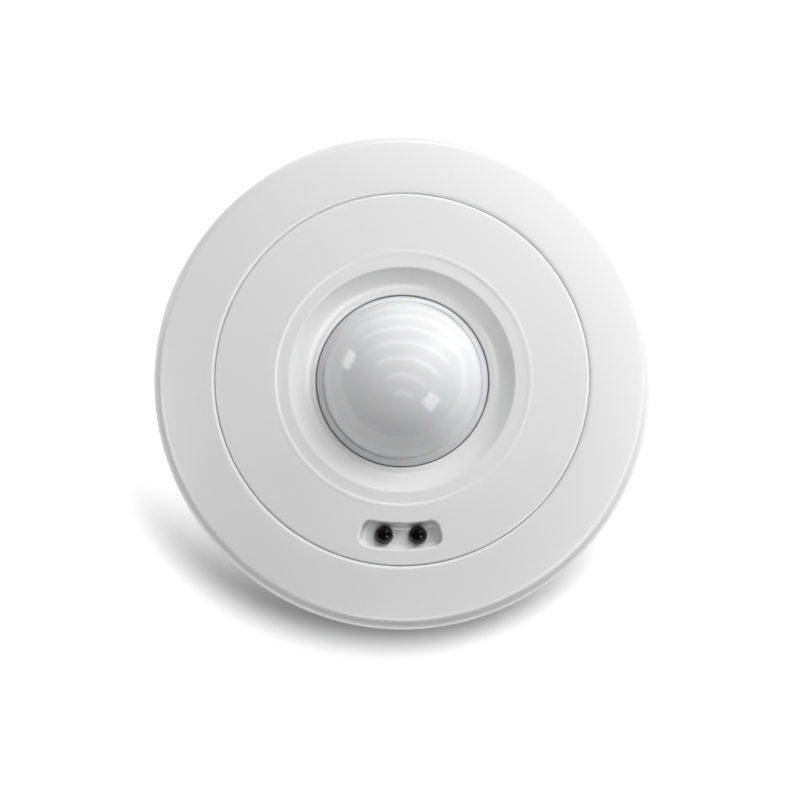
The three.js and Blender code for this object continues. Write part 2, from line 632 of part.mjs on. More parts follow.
/** A coil spring along Z, its wire swept along a helix. */
class Helix extends THREE.Curve {
  constructor(radius, bottom, top, turns) {
    super();
    Object.assign(this, { radius, bottom, top, turns });
  }

  getPoint(t, target = new THREE.Vector3()) {
    const angle = 2 * Math.PI * this.turns * t;
    const z = this.bottom + (this.top - this.bottom) * t;
    return target.set(this.radius * Math.cos(angle), this.radius * Math.sin(angle), z);
  }
}

function makeTamperSwitch() {
  const { x, y, size, corner, height, bore, travel } = TAMPER;
  const top = PART_Z + height;
  const stemBottom = top - TAMPER_STEM.depth;
  const body = prism(roundedRectangle(size, size, corner, x, y), PART_Z, top, 2);
  const hole = cylinder(bore, stemBottom - travel - SEAT_GAP, top + 1, x, y, ROUND_ROTOR);
  addPart('tamper_switch_body', body.subtract(hole), 'chip');
  let plunger = cylinder(TAMPER_STEM.radius, stemBottom, TAMPER_CAP.top, x, y, ROUND_ROTOR);
  plunger = plunger.add(cylinder(TAMPER_CAP.radius, TAMPER_CAP.bottom, TAMPER_CAP.top, x, y));
  addPart('tamper_plunger', plunger, 'white');
  const { radius, wire, turns, stepsPerTurn, endGap } = TAMPER_SPRING;
  const path = new Helix(radius, top + wire + endGap, TAMPER_CAP.bottom - wire - endGap, turns);
  const section = new THREE.Shape().absarc(0, 0, wire, 0, 2 * Math.PI, false);
  const steps = stepsPerTurn * turns;
  const settings = { steps, curveSegments: 3, extrudePath: path, bevelEnabled: false };
  const spring = new THREE.ExtrudeGeometry(section, settings).translate(x, y, 0);
  addPart('tamper_spring', solid(spring), 'metal');
}

function makeDipSwitch() {
  const { x, y, width, length, height, ways, pitch } = DIP;
  const top = PART_Z + height;
  const wellBottom = top - DIP_WINDOW.depth;
  let body = block(width, length, PART_Z, top, x, y);
  for (let i = 0; i < ways; i += 1) {
    const middle = y + (i - (ways - 1) / 2) * pitch;
    const well = block(DIP_WINDOW.length, DIP_WINDOW.width, wellBottom, top + 1, x, middle);
    body = body.subtract(well);
    const bottom = wellBottom + SEAT_GAP;
    const slider = block(DIP_SLIDER.length, DIP_SLIDER.width, bottom, bottom + DIP_SLIDER.height,
      x - DIP_SLIDER.travel / 2, middle);
    addPart(`dip_slider_${i + 1}`, slider, 'white');
  }
  addPart('dip_switch_body', body, 'dip');
}

function makeTrimmer() {
  const { x, y, size, corner, height, well, rotor, depth } = TRIMMER;
  const top = PART_Z + height;
  const wellBottom = top - depth;
  const body = prism(roundedRectangle(size, size, corner, x, y), PART_Z, top, 2);
  addPart('trimmer_body', body.subtract(cylinder(well, wellBottom, top + 1, x, y, ROUND_ROTOR)), 'trimmer');
  const disc = cylinder(rotor, wellBottom + SEAT_GAP, top + TRIMMER_SLOT.rise, x, y, ROUND_ROTOR);
  const slot = block(2 * rotor + 1, TRIMMER_SLOT.width, top - TRIMMER_SLOT.floor, top + 1, x, y);
  addPart('trimmer_rotor', disc.subtract(slot), 'white');
}

// ---------------------------------------------------------------- other board parts

function makeMicrocontroller() {
  const { x, y, size, legReach, standoff, height } = CHIP;
  const span = size + 2 * legReach;
  const leads = block(span, span, PART_Z, PART_Z + standoff, x, y);
  const moulding = block(size, size, PART_Z, PART_Z + standoff + height, x, y);
  addPart('microcontroller', leads.add(moulding), 'chip');
}

function makeRelay() {
  const { x, y, width, depth, corner, brim, brimTop, top } = RELAY;
  const foot = roundedRectangle(width + 2 * brim, depth + 2 * brim, corner, x, y);
  const base = prism(foot, PART_Z, PART_Z + brimTop, 2);
  const cap = prism(roundedRectangle(width, depth, corner, x, y), PART_Z + brimTop / 2, PART_Z + top, 2);
  addPart('relay', base.add(cap), 'relay');
}

function makeCapacitors() {
  const { radius, groove, grooveZ, grooveHalf, height } = CAPACITOR;
  CAPACITORS.forEach(([x, y], i) => {
    addPart(`capacitor_${i + 1}`, revolve([
      [0, PART_Z],
      [radius, PART_Z],
      [radius, PART_Z + grooveZ - grooveHalf],
      [radius - groove, PART_Z + grooveZ],
      [radius, PART_Z + grooveZ + grooveHalf],
      [radius, PART_Z + height - groove],
      [radius - groove, PART_Z + height],
      [0, PART_Z + height],
    ], ROUND_SMALL).translate([x, y, 0]), 'chip');
  });
}

function makeCrystal() {
  const { x, y, width, depth, brim, brimTop, top } = CRYSTAL;
  const outline = roundedRectangle(width, depth, depth * NEARLY_HALF, x, y);
  const foot = depth + 2 * brim;
  const footOutline = roundedRectangle(width + 2 * brim, foot, foot * NEARLY_HALF, x, y);
  const can = prism(outline, PART_Z, PART_Z + top, 4);
  addPart('crystal', can.add(prism(footOutline, PART_Z, PART_Z + brimTop, 4)), 'metal');
}

makeMountingPlate();
makeRearHousing();
makeOuterRing();
makeInnerCover();
makeLens();
makeBoard();
makeScrews();
makePyroSensor();
makeLeds();
makeTerminals();
makeTamperSwitch();
makeDipSwitch();
makeTrimmer();
makeMicrocontroller();
makeRelay();
makeCapacitors();
makeCrystal();

export default group;
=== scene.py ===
"""Looks of a round ceiling motion sensor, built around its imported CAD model.

The pieces are drawn in millimetres in the CAD frame: +Z points out through the lens, and
the pair of infrared LEDs lies toward -Y. MM turns their lengths into scene units, which
the camera and the lights are placed in directly.
"""
import math

import bmesh
import bpy
import numpy as np
from mathutils import Matrix, Quaternion, Vector


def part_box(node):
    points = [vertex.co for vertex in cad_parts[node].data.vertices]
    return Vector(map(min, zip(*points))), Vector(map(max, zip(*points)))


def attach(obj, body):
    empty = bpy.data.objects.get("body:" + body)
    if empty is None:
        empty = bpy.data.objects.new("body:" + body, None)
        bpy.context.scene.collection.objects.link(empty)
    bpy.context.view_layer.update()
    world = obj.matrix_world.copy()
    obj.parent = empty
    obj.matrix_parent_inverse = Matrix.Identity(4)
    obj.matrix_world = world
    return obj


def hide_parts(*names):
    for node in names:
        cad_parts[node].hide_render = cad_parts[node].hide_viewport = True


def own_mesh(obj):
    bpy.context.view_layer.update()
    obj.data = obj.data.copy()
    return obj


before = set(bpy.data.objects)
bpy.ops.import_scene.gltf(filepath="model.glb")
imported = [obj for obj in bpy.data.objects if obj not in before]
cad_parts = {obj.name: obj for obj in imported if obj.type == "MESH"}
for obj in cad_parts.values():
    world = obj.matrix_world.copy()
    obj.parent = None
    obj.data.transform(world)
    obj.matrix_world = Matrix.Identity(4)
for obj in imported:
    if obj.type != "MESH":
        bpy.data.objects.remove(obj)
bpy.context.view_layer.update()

MM = 0.001
TURN = 2 * math.pi

# Outer shells
BODY_RADIUS = 67.5
SEAM_RADIUS = 50.85
SEAM_GAP = 0.05
RING_EDGE = (1.2, 0.8)
COVER_EDGE = (0.8, 0.5)
FACE_Z = 20.8
RIM_BOTTOM_Z = 12.6
RIM_FILLET = 2.8
SHELL_WALL = 2.0
FACE_DROP = 1.2
COVER_CROWN = 0.4
RING_LEDGE = 3.65
RING_LEDGE_Z = 10.5
RING_FOOT_Z = 9.0
COVER_FOOT_Z = 11.0
BEAD_RADIUS = 34.8
BEAD_WIDTH = 1.5
BEAD_HEIGHT = 0.14
BEAD_SLOPE = 0.12
BOWL_RADIUS = 30.7
BOWL_DEPTH = 4.1
BOWL_POWER = 1.8
LENS_OPENING_RADIUS = 23.55
LIP_Z = 15.7

# Infrared recess
RECESS_MIDDLE = 42.85
RECESS_HALF_DEPTH = 3.45
RECESS_HALF_WIDTH = 10.9
RECESS_CORNER = 2.4
RECESS_DROP = 3.6
RECESS_WALL = 1.5
LED_RADIUS = 2.5
INFRARED_LEDS = {"ir_led_left": "infrared_led_left", "ir_led_right": "infrared_led_right"}

# Lens
DOME_RADIUS = 21.2
DOME_HEIGHT = 14.7
STEP_RADIUS = 23.3
STEP_Z = 18.3
LENS_WALL = 0.9
FLANGE_RADIUS = 26.8
FLANGE_BOTTOM = 13.6
FLANGE_TOP = 14.6
DOME_SPHERE = (DOME_RADIUS ** 2 + DOME_HEIGHT ** 2) / (2 * DOME_HEIGHT)
DOME_CENTRE_Z = STEP_Z + DOME_HEIGHT - DOME_SPHERE

# Plate, rear housing and board
PLATE_RADIUS = 50
PLATE_TOP = 2.0
KEYHOLE_SPACING = 60
HOOK_ANGLES = (90, 210, 330)
TWIST = 20
FLOOR_Z = 3.8
FLOOR_TOP = 5.4
LIP_BOTTOM = FLOOR_TOP + 0.3
SKIRT_Z = 0.8
HOUSING_RADIUS = 57
REAR_FLANGE_RADIUS = 64.6
FLANGE_Z = 12.0
FLANGE_TOP_Z = 14.6
BOARD_Z = 7.4
SCREWS = {kind: [f"{kind}_screw_{i}" for i in (1, 2, 3)] for kind in ("pcb", "ring")}


# ------------------------------------------------------------------ mesh helpers

def rounded(corners, steps=5):
    """A closed outline through (x, y, fillet radius) corners, with each fillet as an arc.

    A point is added just before and after each fillet, so that smooth shading
    stays flat on the straight stretches between them."""
    points = []
    count = len(corners)
    for i, (x, y, radius) in enumerate(corners):
        here = np.array((x, y), float)
        to_last = np.array(corners[i - 1][:2], float) - here
        to_next = np.array(corners[(i + 1) % count][:2], float) - here
        if radius <= 0:
            points.append(here)
            continue
        last_length = np.linalg.norm(to_last)
        next_length = np.linalg.norm(to_next)
        to_last /= last_length
        to_next /= next_length
        half = math.acos(np.clip(to_last @ to_next, -1, 1)) / 2
        reach = min(radius / math.tan(half), 0.45 * last_length, 0.45 * next_length)
        radius = reach * math.tan(half)
        bisector = (to_last + to_next) / np.linalg.norm(to_last + to_next)
        centre = here + bisector * radius / math.sin(half)
        start = here + to_last * reach - centre
        end = here + to_next * reach - centre
        support = 0.3 * radius
        if last_length > 3 * reach:
            points.append(here + to_last * (reach + support))
        for k in range(steps + 1):
            turn = math.atan2(start[0] * end[1] - start[1] * end[0], start @ end) * k / steps
            spin = np.array(((math.cos(turn), -math.sin(turn)), (math.sin(turn), math.cos(turn))))
            points.append(centre + spin @ start)
        if next_length > 3 * reach:
            points.append(here + to_next * (reach + support))
    return [tuple(p) for p in points]


def arc(x, y, across, up, start, end, steps):
    """Points along an arc about (x, y), between two angles in degrees."""
    turns = [math.radians(start + (end - start) * i / steps) for i in range(steps + 1)]
    return [(x + across * math.cos(turn), y + up * math.sin(turn)) for turn in turns]


def make_object(name, vertices, faces, smooth_angle=40):
    """A mesh object from vertices in millimetres, smooth except at edges over an angle."""
    mesh = bpy.data.meshes.new(name)
    mesh.from_pydata([tuple(c * MM for c in v) for v in vertices], [], faces)
    mesh.validate()
    piece = bpy.data.objects.new(name, mesh)
    bpy.context.collection.objects.link(piece)
    face_outward(mesh)
    smooth(mesh, smooth_angle)
    return piece


def face_outward(mesh):
    work = bmesh.new()
    work.from_mesh(mesh)
    bmesh.ops.recalc_face_normals(work, faces=work.faces)
    if work.calc_volume(signed=True) < 0:
        bmesh.ops.reverse_faces(work, faces=work.faces)
    work.to_mesh(mesh)
    work.free()


def smooth(mesh, angle):
    mesh.shade_smooth()
    mesh.set_sharp_from_angle(angle=math.radians(angle))


def turned_grid(profile, angles):
    """Vertices and faces of a closed profile of (radius, z) turned through all the angles."""
    rows = len(profile)
    vertices = []
    for angle in angles:
        c, s = math.cos(angle), math.sin(angle)
        vertices += [(r * c, r * s, z) for r, z in profile]
    faces = []
    for j in range(len(angles)):
        k = (j + 1) % len(angles)
        for i in range(rows):
            n = (i + 1) % rows
            faces.append((j * rows + i, k * rows + i, k * rows + n, j * rows + n))
    return vertices, faces


def lofted(name, rings):
    """A solid through rings of points, all with the same count, closed at both ends."""
    count = len(rings[0])
    vertices = [point for ring in rings for point in ring]
    faces = []
    for first in range(0, len(vertices) - count, count):
        for i in range(count):
            n = (i + 1) % count
            faces.append((first + i, first + n, first + count + n, first + count + i))
    faces.append(tuple(range(count))[::-1])
    faces.append(tuple(range(len(vertices) - count, len(vertices))))
    return make_object(name, vertices, faces)


def even_angles(count):
    return [TURN * i / count for i in range(count)]


def ring_piece(name, profile, count=256, smooth_angle=40):
    """A solid of revolution whose closed profile stays off the axis."""
    return make_object(name, *turned_grid(profile, even_angles(count)), smooth_angle)


def spun_piece(name, profile, count=96, smooth_angle=40, x=0.0, y=0.0):
    """A solid of revolution from a profile that starts and ends on its axis."""
    inner = [p for p in profile if p[0] > 1e-6]
    vertices = []
    for angle in even_angles(count):
        c, s = math.cos(angle), math.sin(angle)
        vertices += [(x + r * c, y + r * s, z) for r, z in inner]
    rows = len(inner)
    first = len(vertices)
    vertices += [(x, y, profile[0][1]), (x, y, profile[-1][1])]
    faces = []
    for j in range(count):
        k = (j + 1) % count
        for i in range(rows - 1):
            faces.append((j * rows + i, k * rows + i, k * rows + i + 1, j * rows + i + 1))
        faces.append((first, k * rows, j * rows))
        faces.append((first + 1, j * rows + rows - 1, k * rows + rows - 1))
    return make_object(name, vertices, faces, smooth_angle)


# ------------------------------------------------------------------ material helpers

class Maker:
    """A node material under construction."""

    def __init__(self, name):
        self.material = bpy.data.materials.new(name)
        self.material.use_nodes = True
        self.nodes = self.material.node_tree.nodes
        self.links = self.material.node_tree.links
        self.shader = self.nodes["Principled BSDF"]
        self.place = self.add("ShaderNodeTexCoord").outputs["Object"]

    def add(self, kind, inputs=(), **settings):
        node = self.nodes.new(kind)
        for key, value in settings.items():
            setattr(node, key, value)
        for socket, value in dict(inputs).items():
            if isinstance(value, bpy.types.NodeSocket):
                self.links.new(value, node.inputs[socket])
            else:
                node.inputs[socket].default_value = value
        return node

    def set(self, **values):
        for key, value in values.items():
            socket = self.shader.inputs[key.replace("_", " ")]
            if isinstance(value, bpy.types.NodeSocket):
                self.links.new(value, socket)
            else:
                socket.default_value = value

    def math(self, operation, a, b=0.0, c=0.0):
        inputs = {0: a, 1: b, 2: c}
        return self.add("ShaderNodeMath", inputs, operation=operation).outputs[0]

    def vector(self, operation, a, b=(0, 0, 0), output="Vector"):
        node = self.add("ShaderNodeVectorMath", {0: a, 1: b}, operation=operation)
        return node.outputs[output]

    def noise(self, scale, detail=3.0, roughness=0.5):
        inputs = {"Vector": self.place, "Scale": scale, "Detail": detail, "Roughness": roughness}
        return self.add("ShaderNodeTexNoise", inputs).outputs["Fac"]

    def range(self, value, low, high, to_low, to_high, smoothly=False):
        kind = "SMOOTHSTEP" if smoothly else "LINEAR"
        inputs = {"Value": value, "From Min": low, "From Max": high, "To Min": to_low, "To Max": to_high}
        return self.add("ShaderNodeMapRange", inputs, interpolation_type=kind).outputs["Result"]

    def blend(self, factor, first, second):
        node = self.add("ShaderNodeMix", {"Factor": factor}, data_type="RGBA")
        for socket, value in ((6, first), (7, second)):
            if isinstance(value, bpy.types.NodeSocket):
                self.links.new(value, node.inputs[socket])
            else:
                node.inputs[socket].default_value = (*value, 1.0)
        return node.outputs[2]

    def bump(self, height, distance, strength=1.0):
        inputs = {"Height": height, "Distance": distance * MM, "Strength": strength}
        return self.add("ShaderNodeBump", inputs).outputs["Normal"]


def plastic(name, color, roughness, spread=0.05, grain=0.0015, grain_scale=900, shade=0.03):
    """Moulded plastic: slow colour drift, and a fine moulded grain that also varies the gloss."""
    make = Maker(name)
    drift = make.noise(35, 2)
    darker = tuple(c * (1 - shade) for c in color)
    make.set(Base_Color=make.blend(drift, darker, color))
    pits = make.noise(grain_scale, 5)
    make.set(Roughness=make.range(pits, 0.3, 0.7, roughness - spread, roughness + spread))
    make.set(Normal=make.bump(pits, grain))
    return make.material


def lens_plastic():
    """Milky lens: glossy outside, with the ring grooves and zone edges of its inside showing. The ring
    crests are painted lighter, and only in a fan on the side toward the light: painted glints. The
    stepped foot round the dome is painted darker: painted shade.
    """
    make = Maker("lens_milky_plastic")
    axis_tilt = math.radians(23)
    ring_spacing = math.radians(12)
    first_ring = math.radians(10)
    fan_middle = math.radians(11)
    centre = (0, 0, DOME_CENTRE_Z * MM)
    axis = (0.0, -math.sin(axis_tilt), math.cos(axis_tilt))
    up_slope = (math.cos(axis_tilt), math.sin(axis_tilt))
    up = (math.sin(fan_middle), *(math.cos(fan_middle) * c for c in up_slope))
    way = make.vector("NORMALIZE", make.vector("SUBTRACT", make.place, centre))
    angle = make.math("ARCCOSINE", make.vector("DOT_PRODUCT", way, axis, "Value"))
    phase = make.math("DIVIDE", make.math("SUBTRACT", angle, first_ring), ring_spacing)
    wave = make.math("COSINE", make.math("MULTIPLY", phase, TURN))
    crest = make.math("POWER", make.math("MULTIPLY_ADD", wave, 0.5, 0.5), 4.0)
    # The fan keeps the rings to the side toward the light, where they catch it; the ring colour there is
    # a painted glint over the groove relief.
    upward = make.vector("DOT_PRODUCT", way, up, "Value")
    reach = make.math("DIVIDE", upward, make.math("MAXIMUM", make.math("SINE", angle), 0.02))
    lit_fan = make.range(reach, 0.62, 0.9, 0.0, 1.0, smoothly=True)
    rings = make.math("MULTIPLY", crest, lit_fan)
    radius = make.vector("LENGTH", make.vector("MULTIPLY", make.place, (1, 1, 0)), output="Value")

    def inside(limit, blur=0.2):
        return make.range(radius, (limit - blur) * MM, (limit + blur) * MM, 1.0, 0.0, smoothly=True)

    depth = make.math("MULTIPLY_ADD", inside(16.3), 0.55, make.math("MULTIPLY", inside(19.5), 0.45))
    base = make.blend(depth, (0.81, 0.809, 0.818), (0.745, 0.744, 0.758))
    # Painted shade: the stepped foot outside the dome is painted darker all round.
    base = make.blend(inside(DOME_RADIUS + 0.3), (0.66, 0.66, 0.67), base)
    # Painted glints: the ring crests are painted lighter than the rest of the lens.
    ring_glint_color = make.blend(make.math("MULTIPLY", rings, 0.6), base, (0.89, 0.89, 0.894))
    make.set(Base_Color=ring_glint_color, Roughness=make.range(make.noise(2500, 3), 0.3, 0.7, 0.02, 0.035))
    make.set(Subsurface_Weight=0.12, Subsurface_Scale=0.002, IOR=1.52)
    relief = make.math("MULTIPLY_ADD", rings, 1.0, make.math("MULTIPLY", depth, 0.4))
    make.set(Normal=make.bump(relief, 0.007))
    return make.material


def infrared_epoxy():
    """Glossy black epoxy with a faint warm tint and slight mould marks."""
    make = Maker("infrared_epoxy")
    make.set(Base_Color=make.blend(make.noise(300, 2), (0.002, 0.002, 0.0025), (0.005, 0.004, 0.0045)))
    make.set(Roughness=make.range(make.noise(600, 3), 0.3, 0.7, 0.05, 0.09))
    make.set(IOR=1.47)
    return make.material


def foam(name, color):
    """Soft cellular rubber: fine open cells and no gloss."""
    make = Maker(name)
    cells = make.add("ShaderNodeTexVoronoi", {"Vector": make.place, "Scale": 3500}).outputs["Distance"]
    lighter = tuple(c * 1.6 for c in color)
    make.set(Base_Color=make.blend(cells, color, lighter), Roughness=0.95)
    make.set(Normal=make.bump(cells, 0.06))
    return make.material


def metal(name, color, roughness, spread=0.08, grain_scale=500, grain=0.001):
    """Plated metal: cloudy plating, faint scuffs and uneven gloss."""
    make = Maker(name)
    clouds = make.noise(260, 4, 0.6)
    darker = tuple(c * 0.82 for c in color)
    make.set(Base_Color=make.blend(clouds, darker, color), Metallic=1.0)
    scuffs = make.noise(grain_scale, 6, 0.7)
    make.set(Roughness=make.range(scuffs, 0.3, 0.7, roughness - spread, roughness + spread))
    make.set(Normal=make.bump(scuffs, grain))
    return make.material


def clear_epoxy(name, color, roughness=0.08):
    """Cast coloured epoxy with slight flow marks."""
    make = Maker(name)
    deep = tuple(c * 0.6 for c in color)
    make.set(Base_Color=make.blend(make.noise(500, 2), deep, color))
    make.set(Roughness=make.range(make.noise(700, 3), 0.3, 0.7, roughness, roughness + 0.07))
    make.set(IOR=1.54, Coat_Weight=0.4, Coat_Roughness=0.05)
    return make.material


def solder_mask():
    """Green solder mask over copper tracks that run straight and at 45 degrees."""
    make = Maker("board_solder_mask")
    flat = make.vector("MULTIPLY", make.place, (1, 1, 0))
    distances = []
    for feature in ("F1", "F2"):
        inputs = {"Vector": flat, "Scale": 330, "Randomness": 0.8}
        cells = make.add("ShaderNodeTexVoronoi", inputs, feature=feature, distance="MANHATTAN")
        distances.append(cells.outputs["Distance"])
    gap = make.math("SUBTRACT", distances[1], distances[0])
    track = make.range(gap, 0.1, 0.16, 1.0, 0.0, smoothly=True)
    inputs = {"Vector": flat, "Scale": 240, "Randomness": 0.7}
    spots = make.add("ShaderNodeTexVoronoi", inputs).outputs["Distance"]
    via = make.range(spots, 0.085, 0.1, 1.0, 0.0, smoothly=True)
    mask = make.blend(make.noise(60, 2), (0.012, 0.12, 0.045), (0.016, 0.145, 0.055))
    tracked = make.blend(track, mask, (0.03, 0.23, 0.09))
    make.set(Base_Color=make.blend(via, tracked, (0.75, 0.7, 0.6)), Roughness=0.35)
    make.set(Metallic=via, Normal=make.bump(make.math("MAXIMUM", track, via), 0.035))
    return make.material


def moulded(name, color, roughness, grain=0.006, grain_scale=1500):
    """Moulding compound or engineering plastic with a visible fine grain."""
    return plastic(name, color, roughness, 0.07, grain, grain_scale, 0.12)


# The record's slot and the look of each material
MATERIALS = {
    "shell": (
        "shell_plastic",
        plastic("shell_white_plastic", (0.79, 0.79, 0.792), 0.27, 0.003, 0.0003, 2600, 0.006),
    ),
    "rear": (
        "rear_plastic",
        plastic("rear_white_plastic", (0.74, 0.74, 0.745), 0.5, 0.05, 0.006, 1400, 0.02),
    ),
    "lens": ("lens_plastic", lens_plastic()),
    "infrared": ("infrared_lens", infrared_epoxy()),
    "foam": ("seal_rubber", foam("foam_rubber", (0.02, 0.02, 0.021))),
    "board": ("circuit_board", solder_mask()),
    "steel": ("screw_steel", metal("zinc_plated_steel", (0.62, 0.63, 0.65), 0.32)),
    "nickel": ("sensor_metal", metal("nickel_plated_can", (0.7, 0.66, 0.57), 0.24)),
    "tin": ("sensor_metal", metal("tinned_metal", (0.72, 0.72, 0.73), 0.3)),
    "window": ("sensor_window", clear_epoxy("infrared_filter_window", (0.03, 0.028, 0.035), 0.06)),
    "black": ("black_plastic", moulded("black_nylon", (0.018, 0.018, 0.019), 0.5)),
    "chip": ("black_plastic", moulded("moulding_compound", (0.022, 0.022, 0.024), 0.6, 0.01)),
    "sleeve": ("black_plastic", moulded("capacitor_sleeve", (0.02, 0.022, 0.03), 0.3, 0.002)),
    "ceramic": ("sensor_metal", moulded("ceramic_body", (0.42, 0.3, 0.18), 0.55)),
    "red": ("indicator_lens", clear_epoxy("red_epoxy", (0.55, 0.02, 0.015))),
    "terminal": ("terminal_plastic", moulded("green_polyamide", (0.02, 0.2, 0.07), 0.42)),
    "blue": ("switch_plastic", moulded("blue_polyester", (0.02, 0.09, 0.33), 0.4)),
    "ivory": ("white_plastic", moulded("ivory_plastic", (0.76, 0.75, 0.71), 0.42, 0.004)),
}


def finish_piece(piece, material, *nodes, body="head"):
    """Gives a piece its material and the body it rides on, and hides the CAD nodes it replaces."""
    slot, look = MATERIALS[material]
    piece.data.materials.clear()
    piece.data.materials.append(look)
    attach(piece, body)
    if nodes:
        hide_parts(*nodes)


# ------------------------------------------------------------------ outer shells

def rounded_edge(edge, inward, top, size):
    """Profile points over a rounded edge, from its wall at radius "edge" up to the face."""
    width, depth = size
    return arc(edge + inward * width, top - depth, -inward * width, depth, 0, 90, 8)


def make_outer_ring():
    inner = SEAM_RADIUS + SEAM_GAP / 2
    face_inner = inner + RING_EDGE[0]
    slope = 6
    rim_r = BODY_RADIUS - RIM_FILLET
    face_outer = rim_r + RIM_FILLET * math.sin(math.radians(slope))
    rim_z = FACE_Z - FACE_DROP - RIM_FILLET * math.cos(math.radians(slope))
    profile = [(inner, RING_LEDGE_Z), (inner, FACE_Z - 3)]
    profile += rounded_edge(inner, 1, FACE_Z, RING_EDGE)
    face_steps = 26
    for i in range(1, face_steps + 1):
        t = i / face_steps
        profile.append((face_inner + (face_outer - face_inner) * t, FACE_Z - FACE_DROP * t ** 1.25))
    profile += arc(rim_r, rim_z, RIM_FILLET, RIM_FILLET, 90 - slope, 0, 16)[1:]
    foot = 0.7
    profile.append((BODY_RADIUS, RIM_BOTTOM_Z + 2.2))
    profile += arc(BODY_RADIUS - foot, RIM_BOTTOM_Z + foot, foot, foot, 0, -90, 6)
    profile += [
        (BODY_RADIUS - 2.0, RIM_BOTTOM_Z),
        (BODY_RADIUS - 2.2, RIM_BOTTOM_Z + 0.3),
        (BODY_RADIUS - 2.3, FACE_Z - 4.6),
        (BODY_RADIUS - 3.9, FACE_Z - 3.2),
        (inner + SHELL_WALL, FACE_Z - SHELL_WALL - 0.2),
        (inner + SHELL_WALL, RING_FOOT_Z),
        (inner - RING_LEDGE, RING_FOOT_Z),
        (inner - RING_LEDGE, RING_LEDGE_Z),
    ]
    piece = ring_piece("outer_ring_shell", profile, 360)
    bosses = standing(tube, SCREWS["ring"], 1.7, 2.7, 14.9, FACE_Z - 1.5)
    combine(piece, merged("bosses", bosses), "UNION")
    finish_piece(piece, "shell", "outer_ring_cover")


def face_height(radius):
    """Height of the inner cover's face, which is slightly crowned toward its middle."""
    t = (SEAM_RADIUS - radius) / (SEAM_RADIUS - BEAD_RADIUS)
    return FACE_Z + COVER_CROWN * (1 - (1 - min(max(t, 0.0), 1.0)) ** 1.5)


def recess_section(offset_out, offset_in, top_fillet, floor_fillet, drop):
    """Offsets and depths across a recess wall, and how far along its length each one is."""
    draft = 0.15
    points = [(offset_out, 0.0)]
    points += arc(top_fillet, -top_fillet, top_fillet, top_fillet, 90, 180, 12)
    points += arc(-draft - floor_fillet, floor_fillet - drop, floor_fillet, -floor_fillet, 0, 90, 12)
    points.append((-offset_in, -drop))
    points = np.array(points)
    lengths = np.concatenate(([0], np.cumsum(np.linalg.norm(np.diff(points, axis=0), axis=1))))
    return points, lengths / lengths[-1]


def recess_shift(across, along, grow, section, offset_out, offset_in):
    """How far a point of the face moves sideways and down to form the recess."""
    corner = RECESS_CORNER + grow
    half = np.array((RECESS_HALF_DEPTH + grow - corner, RECESS_HALF_WIDTH + grow - corner))
    place = np.array((across, along))
    beyond = np.abs(place) - half
    outside = np.maximum(beyond, 0)
    distance = np.linalg.norm(outside) + min(beyond.max(), 0) - corner
    if distance >= offset_out:
        return 0.0, 0.0, 0.0
    points, share = section
    if distance <= -offset_in:
        return 0.0, 0.0, points[-1][1]
    where = (offset_out - distance) / (offset_out + offset_in)
    offset = np.interp(where, share, points[:, 0])
    depth = np.interp(where, share, points[:, 1])
    length = np.linalg.norm(outside)
    if length > 0:
        direction = np.sign(place) * outside / length
    else:
        direction = np.sign(place) * (beyond >= beyond.max())
    move = (offset - distance) * direction
    return move[0], move[1], depth


def stepped(low, high, step):
    return list(np.linspace(low, high, max(2, int(round((high - low) / step)) + 1)))


def cover_profile():
    """The inner cover's closed profile, as (radius, z, side) with side "face", "under" or ""."""
    edge = SEAM_RADIUS - SEAM_GAP / 2
    rim = edge - COVER_EDGE[0]
    profile = [(edge, z, "") for z in (COVER_FOOT_Z, 15.0, FACE_Z - 1.2)]
    profile += [(*point, "") for point in rounded_edge(edge, -1, face_height(rim), COVER_EDGE)]
    recess_reach = RECESS_HALF_DEPTH + 1.15
    recess_low, recess_high = RECESS_MIDDLE - recess_reach, RECESS_MIDDLE + recess_reach
    bead_edge = BEAD_RADIUS + BEAD_WIDTH / 2
    stretches = (
        (recess_high, rim - 0.25, 0.9, "face"),
        (recess_low, recess_high - 0.12, 0.12, "face"),
        (bead_edge + 0.25, recess_low - 0.5, 0.8, ""),
    )
    for low, high, step, side in stretches:
        radii = stepped(low, high, step)[::-1]
        profile += [(radius, face_height(radius), side) for radius in radii]
    crown = FACE_Z + COVER_CROWN
    bead_steps = 12
    for i in range(bead_steps + 1):
        turn = math.pi * i / bead_steps
        z = crown + BEAD_HEIGHT * math.sin(turn) ** 2 - BEAD_SLOPE * i / bead_steps
        profile.append((BEAD_RADIUS + BEAD_WIDTH / 2 * math.cos(turn), z, ""))
    bezel_z = crown - 0.2
    bezel = (
        (33.9, 0.06), (32.6, 0.03), (31.5, 0), (BOWL_RADIUS + 0.35, 0), (BOWL_RADIUS + 0.15, -0.02)
    )
    profile += [(radius, bezel_z + rise, "") for radius, rise in bezel]
    fillet, fillet_depth = 1.1, 0.7
    foot = LENS_OPENING_RADIUS + fillet
    lip = bezel_z - 0.08 - BOWL_DEPTH
    bowl_steps = 28
    for i in range(bowl_steps + 1):
        t = 1 - i / bowl_steps
        radius = foot + (BOWL_RADIUS - 0.05 - foot) * t
        profile.append((radius, lip + BOWL_DEPTH * t ** BOWL_POWER, ""))
    back = arc(foot, lip - fillet_depth, fillet, fillet_depth, 90, 180, 8)[1:]
    under = FACE_Z - SHELL_WALL
    back += [(LENS_OPENING_RADIUS, LIP_Z), (BOWL_RADIUS - 2.1, LIP_Z)]
    back += [(BOWL_RADIUS + 1.7, under), (35.6, under)]
    profile += [(*point, "") for point in back]
    skirt = edge - 1.8
    profile += [(radius, under, "under") for radius in stepped(36.2, skirt, 0.4)[:-1]]
    return profile + [(skirt, under, ""), (skirt, COVER_FOOT_Z, "")]


